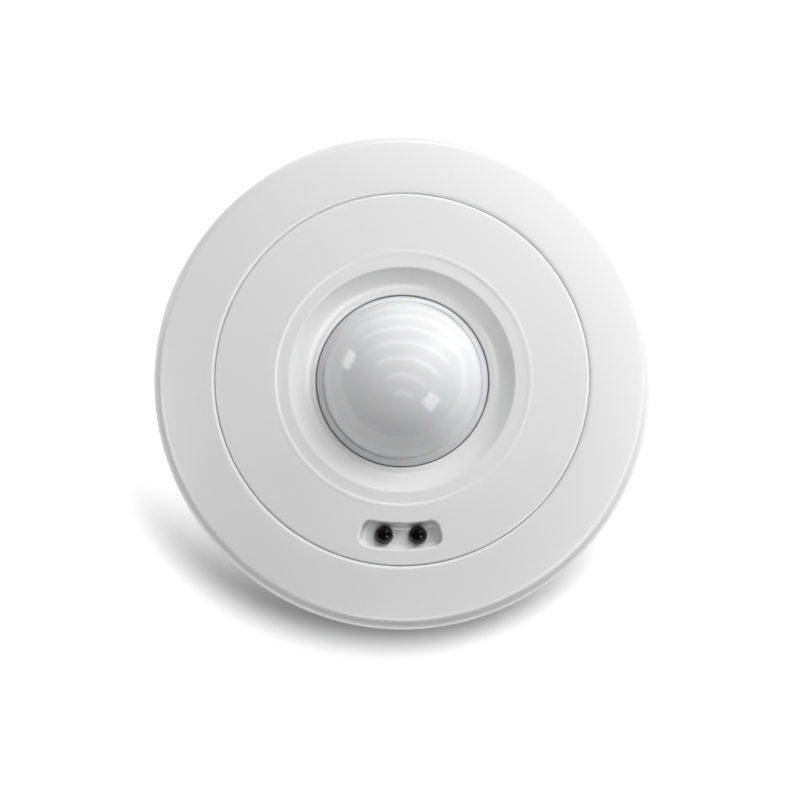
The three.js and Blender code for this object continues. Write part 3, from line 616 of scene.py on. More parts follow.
def cover_angles():
    """Angles of the cover's grid, close together at the recess and wider elsewhere."""
    reach = (RECESS_HALF_WIDTH + 1.6) / RECESS_MIDDLE
    bend = (RECESS_HALF_WIDTH - 3.2) / RECESS_MIDDLE
    fine = stepped(bend, reach, 0.12 / RECESS_MIDDLE)
    near = [-a for a in fine[::-1]] + stepped(-bend, bend, 0.4 / RECESS_MIDDLE)[1:-1] + fine
    far = stepped(reach, TURN - reach, math.radians(1.25))[1:-1]
    return [a - math.pi / 2 for a in near + far]


def make_inner_cover():
    """The cover's turned shell, its grid drawn down into the recess on both sides."""
    profile = cover_profile()
    angles = cover_angles()
    vertices, faces = turned_grid([p[:2] for p in profile], angles)
    top = recess_section(1.0, 1.9, 0.6, 1.4, RECESS_DROP)
    tub = recess_section(0.6, 0.6, 0.1, 0.3, RECESS_DROP + RECESS_WALL - SHELL_WALL)
    shifts = {"face": (0.0, top, 1.0, 1.9), "under": (RECESS_WALL, tub, 0.6, 0.6)}
    reach = (RECESS_HALF_WIDTH + RECESS_WALL + 1) / RECESS_MIDDLE
    rows = len(profile)
    for j, angle in enumerate(angles):
        from_middle = (angle + math.pi / 2 + math.pi) % TURN - math.pi
        if abs(from_middle) > reach:
            continue
        along = from_middle * RECESS_MIDDLE
        for i, (radius, z, side) in enumerate(profile):
            if side not in shifts:
                continue
            move, slide, drop = recess_shift(radius - RECESS_MIDDLE, along, *shifts[side])
            place = angle + slide / RECESS_MIDDLE
            x, y = (radius + move) * math.cos(place), (radius + move) * math.sin(place)
            vertices[j * rows + i] = (x, y, z + drop)
    piece = make_object("inner_cover_shell", vertices, faces)
    cut_led_holes(piece)
    finish_piece(piece, "shell", "inner_cover", body="front_cover")


def node_middle(node):
    """Middle of a CAD node's box, in millimetres."""
    low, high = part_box(node)
    return (low + high) / 2 / MM


def baked(piece):
    """Applies a piece's modifiers to its mesh."""
    bpy.context.view_layer.update()
    evaluated = piece.evaluated_get(bpy.context.evaluated_depsgraph_get())
    result = bpy.data.meshes.new_from_object(evaluated)
    piece.modifiers.clear()
    piece.data = result


def combine(piece, other, operation="DIFFERENCE"):
    """Cuts another piece out of this one, or joins it on, and deletes the other piece."""
    modifier = piece.modifiers.new("combine", "BOOLEAN")
    modifier.operation = operation
    modifier.solver = "EXACT"
    modifier.object = other
    baked(piece)
    bpy.data.objects.remove(other)


def carved(piece, *cutters):
    """Cuts the other pieces out of this one, and smooths what is left."""
    for cutter in cutters:
        combine(piece, cutter)
    smooth(piece.data, 35)
    return piece


def merged(name, parts):
    """One object holding the meshes of several, which are deleted."""
    work = bmesh.new()
    for part in parts:
        work.from_mesh(part.data)
        bpy.data.objects.remove(part)
    mesh = bpy.data.meshes.new(name)
    work.to_mesh(mesh)
    work.free()
    piece = bpy.data.objects.new(name, mesh)
    bpy.context.collection.objects.link(piece)
    return piece


def softened(piece, width, angle=40, segments=2):
    """Rounds a piece's sharp edges."""
    modifier = piece.modifiers.new("soften", "BEVEL")
    modifier.width = width * MM
    modifier.segments = segments
    modifier.limit_method = "ANGLE"
    modifier.angle_limit = math.radians(angle)
    modifier.use_clamp_overlap = True
    baked(piece)
    smooth(piece.data, 35)
    return piece


def cylinder(radius, bottom, top, x, y, count=64):
    profile = [(0, bottom), (radius, bottom), (radius, top), (0, top)]
    return spun_piece("cylinder", profile, count, 30, x, y)


def standing(shape, nodes, *sizes, **options):
    """One upright shape, a cylinder or a tube, through the middle of each CAD node."""
    return [shape(*sizes, *node_middle(node).xy, **options) for node in nodes]


def cut_led_holes(piece):
    floor = FACE_Z - RECESS_DROP
    for hole in standing(cylinder, INFRARED_LEDS, LED_RADIUS + 0.08, floor - 4, floor + 1.4):
        combine(piece, hole)
    smooth(piece.data, 40)


# ------------------------------------------------------------------ lens and LEDs

def dome_points(thickness, steps, ripple=0.0):
    span = math.asin(DOME_RADIUS / DOME_SPHERE)
    points = []
    for i in range(steps + 1):
        angle = span * i / steps
        radius = DOME_SPHERE - thickness - ripple * (i % 2)
        points.append((radius * math.sin(angle), DOME_CENTRE_Z + radius * math.cos(angle)))
    return points


def make_lens():
    """The dome with its stepped edge, flange and grooved inside."""
    groove = 0.22
    step = rounded([
        (STEP_RADIUS, FLANGE_TOP, 0),
        (STEP_RADIUS, STEP_Z - 1.9, 0.5),
        (DOME_RADIUS + 0.75, STEP_Z - 0.1, 0.5),
        (DOME_RADIUS + 0.4, STEP_Z - groove, 0.1),
        (DOME_RADIUS + 0.1, STEP_Z - groove, 0.05),
    ], 8)[1:-1]
    outer = dome_points(0, 60)[:-1]
    inner_step = STEP_RADIUS - LENS_WALL - 0.4
    profile = [(0, outer[0][1])] + outer[1:] + [(DOME_RADIUS, STEP_Z - 0.05)] + step[::-1]
    profile += [
        (STEP_RADIUS, FLANGE_TOP + 0.4), (STEP_RADIUS, FLANGE_TOP), (FLANGE_RADIUS, FLANGE_TOP),
        (FLANGE_RADIUS, FLANGE_BOTTOM), (inner_step, FLANGE_BOTTOM),
        (inner_step, STEP_Z - LENS_WALL - 0.6),
    ]
    profile += dome_points(LENS_WALL, 60, 0.08)[::-1]
    piece = spun_piece("lens_shell", profile, 240, 35)
    finish_piece(piece, "lens", "lens_dome", body="front_cover")


def make_led(name, node, radius, material, around=64, steps=20):
    """A round LED: a flange and a barrel with a domed end."""
    bottom, top = heights(node)
    rim = radius + 0.4
    profile = [(0, bottom), (rim - 0.1, bottom), (rim, bottom + 0.1), (rim, bottom + 0.9)]
    profile += [(rim - 0.1, bottom + 1.0), (radius, bottom + 1.05)]
    profile += arc(0, top - radius, radius, radius, 0, 90, steps)[:-1] + [(0, top)]
    piece = spun_piece(name, profile, around, 40, *node_middle(node).xy)
    finish_piece(piece, material, node)


def make_infrared_leds():
    for node, name in INFRARED_LEDS.items():
        make_led(name, node, LED_RADIUS, "infrared")


# ------------------------------------------------------------------ inner and rear pieces

def box_of(node):
    """Lowest and highest corner of a CAD node, in millimetres."""
    return tuple(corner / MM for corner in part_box(node))


def puck(name, radius, bottom, top, edges, count, x=0.0, y=0.0, steps=4):
    """A disc whose lower and upper edges are rounded."""
    lower, upper = edges
    corners = [(0, bottom, 0), (radius, bottom, lower), (radius, top, upper), (0, top, 0)]
    return spun_piece(name, rounded(corners, steps), count, 40, x, y)


def heights(node):
    """Lowest and highest z of a CAD node, in millimetres."""
    return [corner.z for corner in box_of(node)]


def tube(inner, outer, bottom, top, x, y, count=48):
    """A plain ring standing at a place."""
    profile = [(inner, bottom), (outer, bottom), (outer, top), (inner, top)]
    vertices, faces = turned_grid(profile, even_angles(count))
    return make_object("tube", [(x + a, y + b, z) for a, b, z in vertices], faces)


def rectangle(low, high, corner, inset=0.0, steps=5):
    """Counter-clockwise outline of a rounded rectangle, drawn in by an inset."""
    radius = max(corner - inset, 0.01)
    x0, y0 = low.x + inset + radius, low.y + inset + radius
    x1, y1 = high.x - inset - radius, high.y - inset - radius
    points = []
    for quarter, (x, y) in enumerate(((x1, y1), (x0, y1), (x0, y0), (x1, y0))):
        points += arc(x, y, radius, radius, 90 * quarter, 90 * quarter + 90, steps)
    return points


def slab(name, low, high, corner=0.01, edge=0.01, foot=0.0, draft=0.0):
    """A block with round corners and a rounded top edge, drawn in toward its top by a draft."""
    low, high = Vector(low), Vector(high)
    levels = [(foot, low.z)] if foot else []
    levels += [(0.0, low.z + foot)] + arc(draft + edge, high.z - edge, -edge, edge, 0, 90, 5)
    rings = []
    for inset, z in levels:
        rings.append([(x, y, z) for x, y in rectangle(low, high, corner, inset)])
    return lofted(name, rings)


def bar(x, y, half_x, half_y, bottom, top, corner=0.01):
    """A block about (x, y), which cuts a slot or a well."""
    low, high = (x - half_x, y - half_y, bottom), (x + half_x, y + half_y, top)
    return slab("bar", low, high, corner)


def sector(inner, outer, start, end, bottom, top, steps=12):
    """A slice of a flat ring between two angles, in degrees."""
    section = ((inner, bottom), (outer, bottom), (outer, top), (inner, top))
    rings = []
    for i in range(steps + 1):
        turn = start + (end - start) * i / steps
        rings.append([(*polar(radius, turn), z) for radius, z in section])
    return lofted("sector", rings)


def polar(radius, degrees):
    return radius * math.cos(math.radians(degrees)), radius * math.sin(math.radians(degrees))


def cable_cutter(bottom, top):
    return slab("cable_cutter", (-9, 16, bottom), (9, 26, top), 3)


def make_mounting_plate():
    """Disc with keyholes, cable opening, a moulded groove and three bayonet hooks."""
    groove_z = PLATE_TOP - 0.5
    profile = rounded([
        (0, 0, 0), (PLATE_RADIUS, 0, 0.6), (PLATE_RADIUS, PLATE_TOP, 0.4),
        (PLATE_RADIUS - 4, PLATE_TOP, 0.2), (PLATE_RADIUS - 4.3, groove_z, 0.2),
        (PLATE_RADIUS - 5.7, groove_z, 0.2), (PLATE_RADIUS - 6, PLATE_TOP, 0.2), (0, PLATE_TOP, 0),
    ], 4)
    piece = spun_piece("mounting_plate_moulding", profile, 192)
    combine(piece, cable_cutter(-1, 4))
    for x in (-KEYHOLE_SPACING / 2, KEYHOLE_SPACING / 2):
        combine(piece, cylinder(4.2, -1, 4, x, 0))
        combine(piece, bar(x, 4.5, 2.3, 4.5, -1, 4, 2.29))
        combine(piece, bar(x, 4.5, 5.3, 7.5, 1.2, 4, 5.29))
    for hook in HOOK_ANGLES:
        post = sector(37, 39, hook - 4, hook + 4, 1, LIP_BOTTOM + 1.1)
        lip = sector(37.01, 42, hook - 3.99, hook + 3.99, LIP_BOTTOM, LIP_BOTTOM + 1.09)
        combine(post, lip, "UNION")
        combine(piece, post, "UNION")
    softened(piece, 0.25)
    finish_piece(piece, "rear", "mounting_plate", body="base")


def make_rear_housing():
    """Cup behind the board, with its skirt, flange, bosses, screw holes and bayonet slots."""
    profile = rounded([
        (0, FLOOR_Z, 0), (PLATE_RADIUS + 1.6, FLOOR_Z, 0.5), (PLATE_RADIUS + 2.0, SKIRT_Z, 0.3),
        (HOUSING_RADIUS - 1.4, SKIRT_Z, 1.6), (HOUSING_RADIUS, FLANGE_Z, 0.8),
        (REAR_FLANGE_RADIUS, FLANGE_Z, 0.3), (REAR_FLANGE_RADIUS, FLANGE_TOP_Z, 0.3),
        (HOUSING_RADIUS - 2, FLANGE_TOP_Z, 0.3), (HOUSING_RADIUS - 3.6, FLOOR_TOP, 1.2),
        (0, FLOOR_TOP, 0),
    ], 6)
    piece = spun_piece("rear_housing_moulding", profile, 240)
    bosses = standing(cylinder, SCREWS["pcb"], 3.2, FLOOR_TOP - 0.6, BOARD_Z - 0.2, count=40)
    combine(piece, merged("bosses", bosses), "UNION")
    pilots = standing(cylinder, SCREWS["pcb"], 1.5, FLOOR_TOP - 0.5, BOARD_Z + 1, count=32)
    holes = standing(cylinder, SCREWS["ring"], 1.75, FLANGE_Z - 1, FLANGE_TOP_Z + 1, count=32)
    combine(piece, merged("holes", [cable_cutter(FLOOR_Z - 1, FLOOR_TOP + 1)] + pilots + holes))
    sinks = standing(cylinder, SCREWS["ring"], 2.9, FLANGE_Z - 1, FLANGE_Z + 1.7, count=40)
    combine(piece, merged("sinks", sinks))
    bottom, top = FLOOR_Z - 1, FLOOR_TOP + 1
    for hook in HOOK_ANGLES:
        entry = hook - TWIST
        combine(piece, sector(36.5, 39.5, entry, hook + 5.2, bottom, top))
        combine(piece, sector(36.49, 42.5, entry - 5.2, entry + 5.2, bottom - 0.01, top + 0.01))
    softened(piece, 0.2)
    finish_piece(piece, "rear", "rear_housing")


def make_lens_rings():
    """The clamp ring behind the lens flange, and the foam seal in front of it."""
    low, high = box_of("lens_retaining_ring")
    inner = STEP_RADIUS - 0.8
    shoulder, seat = FLANGE_RADIUS + 0.3, FLANGE_BOTTOM - 0.3
    profile = rounded([
        (inner, low.z, 0.2), (high.x, low.z, 0.4), (high.x, high.z, 0.2),
        (shoulder, high.z, 0.2), (shoulder, seat, 0), (inner, seat, 0.2),
    ], 4)
    piece = ring_piece("lens_clamp_ring", profile, 192)
    notches = []
    for angle in range(15, 360, 30):
        notches.append(cylinder(0.7, low.z - 1, low.z + 1.2, *polar(high.x, angle), 20))
    combine(piece, merged("notches", notches))
    finish_piece(piece, "rear", "lens_retaining_ring", body="front_cover")
    low, high = box_of("lens_seal")
    inner = LENS_OPENING_RADIUS + 0.56
    corners = ((inner, low.z), (high.x, low.z), (high.x, high.z), (inner, high.z))
    seal = ring_piece("lens_foam_seal", rounded([(*corner, 0.15) for corner in corners], 3), 192)
    finish_piece(seal, "foam", "lens_seal", body="front_cover")


def make_board():
    """Circuit board with its cable opening and plated screw holes."""
    low, high = box_of("main_pcb")
    piece = puck("circuit_board", high.x, low.z, high.z, (0.15, 0.15), 192, steps=3)
    holes = standing(cylinder, SCREWS["pcb"], 1.7, low.z - 1, high.z + 1, count=32)
    carved(piece, cable_cutter(low.z - 1, high.z + 1), merged("holes", holes))
    finish_piece(piece, "board", "main_pcb")
    pads = standing(tube, SCREWS["pcb"], 1.75, 3.0, high.z, high.z + 0.05)
    finish_piece(merged("screw_pads", pads), "tin")


def screw_piece(name, node, head_radius, shank_radius, head_down=False):
    """Pan-head screw with a cross recess and a threaded shank, in its CAD node's place."""
    low, high = box_of(node)
    head = 1.4 if head_down else 1.6
    length = high.z - low.z - head
    root = shank_radius * 0.82
    pitch = 0.5
    profile = [(0, -length), (shank_radius * 0.55, -length), (shank_radius * 0.8, 0.4 - length)]
    for i in range(int((length - 0.6) / pitch)):
        z = pitch * (i + 1) - length
        profile += [(root, z), (shank_radius, z + 0.2), (root, z + 0.4)]
    profile += [(root, 0), (head_radius - 0.1, 0), (head_radius, 0.1)]
    profile += arc(0, head * 0.45, head_radius, head * 0.55, 0, 90, 8)[:-1] + [(0, head)]
    piece = spun_piece(name, profile, 48)
    long, thin = head_radius * 0.62, head_radius * 0.16
    combine(piece, bar(0, 0, long, thin, head * 0.35, head + 1))
    combine(piece, bar(0, 0, thin, long, head * 0.36, head + 1))
    softened(piece, 0.05, 50, 1)
    seat = low.z + head if head_down else high.z - head
    turn = Matrix.Rotation(math.pi, 4, "X") if head_down else Matrix.Identity(4)
    piece.data.transform(Matrix.Translation(Vector((*node_middle(node).xy, seat)) * MM) @ turn)
    piece.data.update()
    finish_piece(piece, "steel", node)


def make_screws():
    for node in SCREWS["pcb"]:
        screw_piece(node.replace("pcb_screw", "board_screw"), node, 2.7, 1.25)
    for node in SCREWS["ring"]:
        screw_piece(node.replace("ring_screw", "cover_screw"), node, 2.6, 1.35, True)


def make_pyro_sensor():
    """TO-5 can with its rolled flange, infrared window and foam collar."""
    bottom, top = heights("pyro_sensor_can")
    flange_top = bottom + 0.7
    profile = rounded([
        (0, bottom, 0), (4.7, bottom, 0.12), (4.7, flange_top, 0.25), (4.1, flange_top, 0.2),
        (4.1, top, 0.55), (0, top, 0),
    ], 5)
    can = spun_piece("pyro_can", profile, 96)
    low, high = box_of("pyro_sensor_window")
    carved(can, slab("well", low - Vector((0.2, 0.2, 0.2)), high + Vector((0.2, 0.2, 1)), 0.4))
    finish_piece(can, "nickel", "pyro_sensor_can")
    finish_piece(slab("pyro_window", low, high, 0.3, 0.06), "window", "pyro_sensor_window")
    low, high = box_of("pyro_gasket")
    inner = 5.0
    profile = rounded([
        (inner, low.z, 0.2), (high.x, low.z, 0.2), (high.x, high.z, 0.5), (inner, high.z, 0.3)
    ], 4)
    finish_piece(ring_piece("pyro_foam_collar", profile, 96), "foam", "pyro_gasket")


def make_led_holder():
    low, high = box_of("led_holder")
    holder = slab("infrared_led_holder", low, high, 1.0, 0.4, 0.2)
    for node in INFRARED_LEDS:
        x, y = node_middle(node).xy
        combine(holder, bar(x, y, 1.6, 0.5, low.z - 1, high.z + 1))
    smooth(holder.data, 35)
    finish_piece(holder, "black", "led_holder")
    make_led("walk_test_lamp", "walk_test_led", 1.5, "red", 48, 16)


def make_terminals():
    """Six-way terminal block with wire entries, grooves between the ways and slotted screws."""
    low, high = box_of("terminal_block")
    body = slab("terminal_housing", low, high, 0.3, 0.3)
    for i in range(1, 7):
        node = f"terminal_screw_{i}"
        x, y = node_middle(node).xy
        bottom, top = heights(node)
        combine(body, cylinder(2.1, bottom - 0.2, high.z + 1, x, y, 40))
        combine(body, bar(x, low.y, 1.6, 2, low.z + 1, low.z + 4, 0.3))
        combine(body, bar(x + 2.5, low.y, 0.1, 2 * (high.y - low.y), low.z + 5, high.z + 1))
        head = puck(f"terminal_clamp_screw_{i}", 1.8, bottom, top, (0.1, 0.35), 48, x, y)
        carved(head, bar(x, y, 3, 0.3, top - 0.8, top + 1))
        finish_piece(head, "steel", node)
    softened(body, 0.12)
    finish_piece(body, "terminal", "terminal_block")


def make_tamper_switch():
    """Switch body with its plunger and the coil spring under the plunger's cap."""
    low, high = box_of("tamper_switch_body")
    x, y = node_middle("tamper_switch_body").xy
    body = slab("tamper_switch_case", low, high, 0.6, 0.3, 0.15)
    carved(body, cylinder(1.6, high.z - 3.4, high.z + 1, x, y, 48))
    finish_piece(body, "black", "tamper_switch_body")
    bottom, top = heights("tamper_plunger")
    profile = rounded([
        (0, bottom, 0), (1.52, bottom, 0.15), (1.52, top - 1, 0.1), (2.6, top - 1, 0.15),
        (2.6, top, 0.4), (0, top, 0),
    ], 4)
    plunger = spun_piece("tamper_button_cap", profile, 64, 40, x, y)
    finish_piece(plunger, "ivory", "tamper_plunger", body="tamper_button")
    bottom, top = heights("tamper_spring")
    spring = coil("tamper_coil_spring", x, y, 2.1, 0.25, bottom, top)
    finish_piece(spring, "steel", "tamper_spring")
    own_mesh(spring)


def coil(name, x, y, radius, wire, bottom, top, turns=4, flat=0.6, around=10, along=32):
    """A helical spring of round wire, which lies flat for part of a turn at each end."""
    rings = []
    for i in range(turns * along + 1):
        turn = i / along
        rise = min(max((turn - flat) / (turns - 2 * flat), 0), 1)
        z = bottom + wire + (top - bottom - 2 * wire) * rise
        ring = []
        for reach, lift in arc(radius, z, wire, wire, 0, 360, around)[:-1]:
            across, up = polar(reach, 360 * turn)
            ring.append((x + across, y + up, lift))
        rings.append(ring)
    return lofted(name, rings)


def make_dip_switch():
    """Four-way slide switch with a well and a lever for each way."""
    low, high = box_of("dip_switch_body")
    body = slab("dip_switch_case", low, high, 0.3, 0.2, 0.1)
    x = (low.x + high.x) / 2
    for i in range(1, 5):
        node = f"dip_slider_{i}"
        y = node_middle(node).y
        combine(body, bar(x, y, 2.1, 0.8, high.z - 1.6, high.z + 1))
        lever = slab(f"dip_switch_lever_{i}", *box_of(node), 0.2, 0.25)
        finish_piece(lever, "ivory", node, body=f"dip_lever_{i}")
    softened(body, 0.08)
    finish_piece(body, "blue", "dip_switch_body")


def make_trimmer():
    """Square trimmer with a round rotor that has a screwdriver slot and a pointer notch."""
    low, high = box_of("trimmer_body")
    x, y = node_middle("trimmer_body").xy
    body = slab("trimmer_case", low, high, 0.8, 0.3, 0.2)
    carved(body, cylinder(3.3, high.z - 1.4, high.z + 1, x, y, 64))
    finish_piece(body, "blue", "trimmer_body")
    bottom, top = heights("trimmer_rotor")
    rotor = puck("trimmer_wheel", 3.2, bottom, top, (0.1, 0.25), 64, x, y)
    combine(rotor, bar(x, y, 4, 0.45, high.z - 0.5, top + 1))
    combine(rotor, bar(x + 1.35, y, 0.85, 0.9, high.z - 0.3, top + 1, 0.5))
    softened(rotor, 0.06, 40, 1)
    finish_piece(rotor, "ivory", "trimmer_rotor", body="trimmer_wiper")


def gull_leg(x, y, z, width, direction):
    """A bent lead that leaves a chip's side and lands on the board."""
    path = [(0, 0.75), (0.35, 0.75), (0.5, 0.6), (0.6, 0.15), (0.7, 0.0), (1.0, 0.0)]
    along = Vector((*direction, 0))
    across = Vector((-direction[1], direction[0], 0)) * width / 2
    thick = Vector((0, 0, 0.15))
    rings = []
    for reach, height in path:
        base = Vector((x, y, z + height)) + along * reach
        rings.append([base - across, base + across, base + across + thick, base - across + thick])
    return lofted("leg", rings)


def make_microcontroller():
    low, high = box_of("microcontroller")
    x, y = node_middle("microcontroller").xy
    half = 4.5
    pitch = 0.75
    body_low, body_high = (x - half, y - half, low.z + 0.1), (x + half, y + half, high.z)
    body = slab("chip_moulding", body_low, body_high, 0.3, 0.15, 0.2, 0.25)
    carved(body, cylinder(0.5, high.z - 0.12, high.z + 1, x - 3.2, y + 3.2, 24))
    finish_piece(body, "chip", "microcontroller")
    legs = []
    for quarter in range(4):
        dx, dy = (round(c) for c in polar(1, 90 * quarter))
        for i in range(-5, 6):
            leg_x = x + dx * (half - 0.1) - dy * i * pitch
            leg_y = y + dy * (half - 0.1) + dx * i * pitch
            legs.append(gull_leg(leg_x, leg_y, low.z, 0.32, (dx, dy)))
    finish_piece(merged("chip_leads", legs), "tin")


def make_relay():
    low, high = box_of("relay")
    middle = (low + high) / 2
    finish_piece(slab("relay_base", low, (high.x, high.y, low.z + 1.2), 0.8, 0.2, 0.1), "black")
    cap_low, cap_high = low + Vector((0.4, 0.4, 1.25)), high - Vector((0.4, 0.4, 0))
    cap = slab("relay_cover", cap_low, cap_high, 0.8, 0.5, 0.0, 0.15)
    carved(cap, cylinder(0.6, high.z - 0.2, high.z + 1, middle.x + 2.2, middle.y + 5.2, 24))
    finish_piece(cap, "ivory", "relay")


def make_capacitors():
    """Electrolytic capacitors: a shrunk sleeve around a can with a scored top."""
    for i in (1, 2):
        node = f"capacitor_{i}"
        x, y = node_middle(node).xy
        bottom, top = heights(node)
        profile = rounded([
            (0, bottom, 0), (3.1, bottom, 0.3), (3.1, bottom + 1.0, 0.2), (2.8, bottom + 1.4, 0.2),
            (3.1, bottom + 1.8, 0.2), (3.1, top, 0.35), (2.5, top, 0.05), (2.4, top - 0.25, 0.05),
            (0, top - 0.25, 0),
        ], 4)
        finish_piece(spun_piece(f"capacitor_sleeve_{i}", profile, 64, 40, x, y), "sleeve", node)
        profile = [(0, top - 0.25), (2.35, top - 0.25), (2.35, top - 0.12), (2.2, top - 0.06)]
        disc = spun_piece(f"capacitor_top_{i}", profile + [(0, top - 0.06)], 64, 40, x, y)
        long, thin = 1.8, 0.08
        scores = bar(x, y, long, thin, top - 0.14, top + 1), bar(x, y, thin, long, top - 0.13, top + 1)
        carved(disc, *scores)
        finish_piece(disc, "tin")


def make_crystal():
    low, high = box_of("crystal")
    brim = Vector((0.4, 0.4, 0))
    can = slab("crystal_can", low + brim, high - brim, 1.99, 0.6)
    foot = slab("crystal_foot", low, (high.x, high.y, low.z + 0.5), 2.39, 0.15, 0.1)
    combine(can, foot, "UNION")
    smooth(can.data, 35)
    finish_piece(can, "nickel", "crystal")


def make_small_parts():
    """Surface-mounted resistors and capacitors: a body with a tinned cap at each end."""
    z = heights("main_pcb")[1] + 0.05
    half, half_width = 0.62, 0.6
    rows = (  # first x and y, step in x and y, count, angle in degrees
        (-28.5, -20, 0, -2.4, 5, 90),
        (-7.5, -20.5, 0, -2.4, 5, 0),
        (9, 9, 3.4, 0, 5, 90),
        (-9, 9, -3.2, 0, 4, 90),
        (15, -18, 3.2, 0, 4, 90),
        (-20, 14, 0, 3.4, 4, 0),
        (14, -27, 3.4, 0, 3, 0),
        (-14, -10, 0, 3, 3, 0),
    )
    kinds = {"chip": [], "ceramic": []}
    ends = []
    for x, y, step_x, step_y, count, angle in rows:
        for i in range(count):
            place = Matrix.Translation(Vector((x + i * step_x, y + i * step_y, z)) * MM)
            turn = place @ Matrix.Rotation(math.radians(angle), 4, "Z")
            kind, tall = ("chip", 0.45) if i % 2 else ("ceramic", 0.8)
            body = slab("body", (-half, -half_width, 0.02), (half, half_width, tall), 0.05, 0.05)
            body.data.transform(turn)
            kinds[kind].append(body)
            for side in (-1, 1):
                x0, x1 = sorted((side * half * 0.99, side * 1.0))
                end_low, end_high = (x0, -half_width - 0.02, 0), (x1, half_width + 0.02, tall + 0.02)
                end = slab("end", end_low, end_high, 0.05, 0.05)
                end.data.transform(turn)
                ends.append(end)
    finish_piece(merged("chip_resistors", kinds["chip"]), "chip")
    finish_piece(merged("chip_capacitors", kinds["ceramic"]), "ceramic")
    finish_piece(merged("chip_end_caps", ends), "tin")


# ------------------------------------------------------------------ stage

def look_along(thing, direction, up=(0, 1, 0)):
    """Turns a camera or light so that it looks along a direction, with an up hint."""
    forward = Vector(direction).normalized()
    side = forward.cross(Vector(up)).normalized()
    above = side.cross(forward)
    turn = Matrix((side, above, -forward)).transposed()
    thing.rotation_mode = "QUATERNION"
    thing.rotation_quaternion = turn.to_quaternion()


def from_above(tilt, azimuth):
    """Unit vector at a tilt from +Z, toward an azimuth counted from +X to +Y, in degrees."""
    t, a = math.radians(tilt), math.radians(azimuth)
    return Vector((math.sin(t) * math.cos(a), math.sin(t) * math.sin(a), math.cos(t)))


def make_camera():
    distance = 2.0
    view_width = 0.2178
    target = Vector((-0.00068, -0.0047, 0.01244))
    back = from_above(7.0, -81)
    data = bpy.data.cameras.new("camera")
    data.sensor_width = 36
    data.lens = data.sensor_width * distance / view_width
    data.clip_start = 0.1
    data.clip_end = 20
    camera = bpy.data.objects.new("camera", data)
    camera.location = target + back * distance
    roll = math.radians(0.52)
    look_along(camera, -back, (-math.sin(roll), math.cos(roll), 0))
    bpy.context.collection.objects.link(camera)
    bpy.context.scene.camera = camera


def area_light(name, tilt, azimuth, distance, size, power, kind, turn=0):
    """A panel aimed at the origin, which either lights things or is only mirrored in them."""
    data = bpy.data.lights.new(name, "AREA")
    data.shape = "RECTANGLE"
    data.size, data.size_y = size
    data.energy = power
    light = bpy.data.objects.new(name, data)
    away = from_above(tilt, azimuth)
    light.location = away * distance
    look_along(light, -away, (0, 0, 1))
    light.rotation_quaternion @= Quaternion((0, 0, 1), math.radians(turn))
    light.visible_camera = False
    light.visible_glossy = kind == "glossy"
    light.visible_diffuse = kind == "diffuse"
    bpy.context.collection.objects.link(light)
    return light


def receive_only(light, pieces):
    """Lets a light reach only the named pieces."""
    receivers = bpy.data.collections.new(light.name + "_receivers")
    for name in pieces:
        receivers.objects.link(bpy.data.objects[name])
    light.light_linking.receiver_collection = receivers


def make_surroundings():
    """A pale wall low round the horizon, and almost no light from above it."""
    world = bpy.data.worlds.new("studio")
    world.use_nodes = True
    nodes, links = world.node_tree.nodes, world.node_tree.links
    background = nodes["Background"]
    background.inputs["Color"].default_value = (1, 1, 1, 1)
    split = nodes.new("ShaderNodeSeparateXYZ")
    links.new(nodes.new("ShaderNodeTexCoord").outputs["Generated"], split.inputs[0])
    fade = nodes.new("ShaderNodeMapRange")
    fade.interpolation_type = "SMOOTHSTEP"
    links.new(split.outputs["Z"], fade.inputs["Value"])
    for socket, value in (("From Min", 0.13), ("From Max", 0.2), ("To Min", 0.4), ("To Max", 0.02)):
        fade.inputs[socket].default_value = value
    links.new(fade.outputs["Result"], background.inputs["Strength"])
    bpy.context.scene.world = world


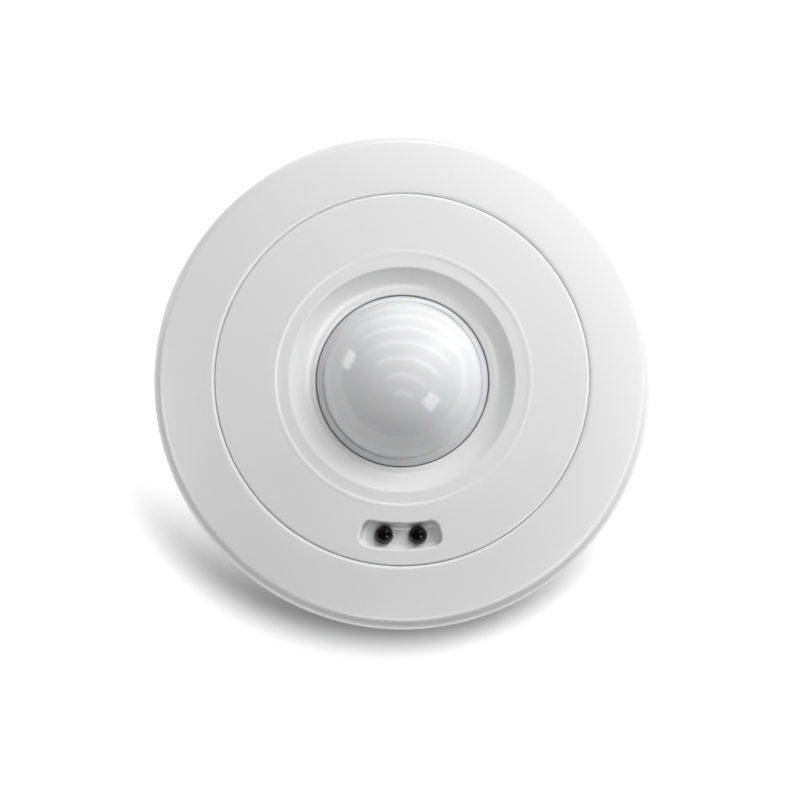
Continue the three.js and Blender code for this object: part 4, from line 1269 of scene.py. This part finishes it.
def make_lights():
    """Soft panels that light the scene, and panels only mirrored in the lens or the shell."""
    area_light("key", 50, 42, 0.5, (0.36, 0.46), 1.63, "diffuse")
    area_light("key_near", 50, 42, 0.35, (0.26, 0.3), 0.45, "diffuse")
    area_light("key_low", 62, 40, 0.32, (0.26, 0.26), 0.08, "diffuse")
    area_light("top_panel", 45, 90, 0.5, (0.4, 0.3), 0.32, "diffuse")
    area_light("left_fill", 60, 180, 0.5, (0.3, 0.3), 0.6, "diffuse")
    area_light("low_fill", 48, 275, 0.5, (0.3, 0.3), 0.33, "diffuse")
    area_light("softbox_mirrored", 58, 45, 0.5, (0.16, 0.5), 0.3, "glossy")
    area_light("kite_left", 87, 156, 0.45, (0.14, 0.2), 0.35, "glossy", -10)
    area_light("kite_right", 50, -36, 0.5, (0.17, 0.17), 0.35, "glossy")
    edge_lights = (  # azimuth, tilt, power
        (2, 32, 0.7), (45, 36, 0.15), (90, 42, 0.7), (180, 32, 0.75), (268, 28, 0.8), (318, 30, 0.8)
    )
    for azimuth, tilt, power in edge_lights:
        name = f"edge_light_{azimuth}"
        strip = area_light(name, tilt, azimuth, 0.6, (0.2, 0.2), power, "glossy")
        receive_only(strip, ("outer_ring_shell", "inner_cover_shell"))


def make_floor():
    """White floor that glows, except where its soft shadow falls below the sensor."""
    half = 1.5
    z = -0.02 * MM
    corners = [(-half, -half, z), (half, -half, z), (half, half, z), (-half, half, z)]
    mesh = bpy.data.meshes.new("floor")
    mesh.from_pydata(corners, [], [(0, 1, 2, 3)])
    floor = bpy.data.objects.new("floor", mesh)
    bpy.context.collection.objects.link(floor)
    make = Maker("floor_white")
    glow = 0.82
    shadow_middle = (-3.9 * MM, 13.4 * MM, 0)
    shadow_inner, shadow_outer = 77.7 * MM, 89.5 * MM
    shadow_start, shadow_end = -22.3 * MM, -67.2 * MM
    away = make.vector("SUBTRACT", make.place, shadow_middle)
    distance = make.vector("LENGTH", away, output="Value")
    dark_below = make.range(distance, shadow_inner, shadow_outer, 1.0, 0.0, smoothly=True)
    away_from_key = (*polar(1, 87), 0)
    along = make.vector("DOT_PRODUCT", make.place, away_from_key, "Value")
    dark_side = make.range(along, shadow_end, shadow_start, 1.0, 0.0, smoothly=True)
    dark = make.math("MULTIPLY", dark_below, dark_side)
    make.set(Base_Color=(0.54, 0.54, 0.54, 1), Roughness=0.9, Emission_Color=(1, 1, 1, 1))
    make.set(Emission_Strength=make.math("MULTIPLY_ADD", dark, -glow, glow))
    mesh.materials.append(make.material)


def set_view():
    settings = bpy.context.scene.view_settings
    settings.view_transform = "Standard"
    settings.look = "None"
    settings.exposure = 0.0


make_outer_ring()
make_inner_cover()
make_lens()
make_infrared_leds()
make_mounting_plate()
make_rear_housing()
make_lens_rings()
make_board()
make_screws()
make_pyro_sensor()
make_led_holder()
make_terminals()
make_tamper_switch()
make_dip_switch()
make_trimmer()
make_microcontroller()
make_relay()
make_capacitors()
make_crystal()
make_small_parts()
make_camera()
make_surroundings()
make_lights()
make_floor()
set_view()
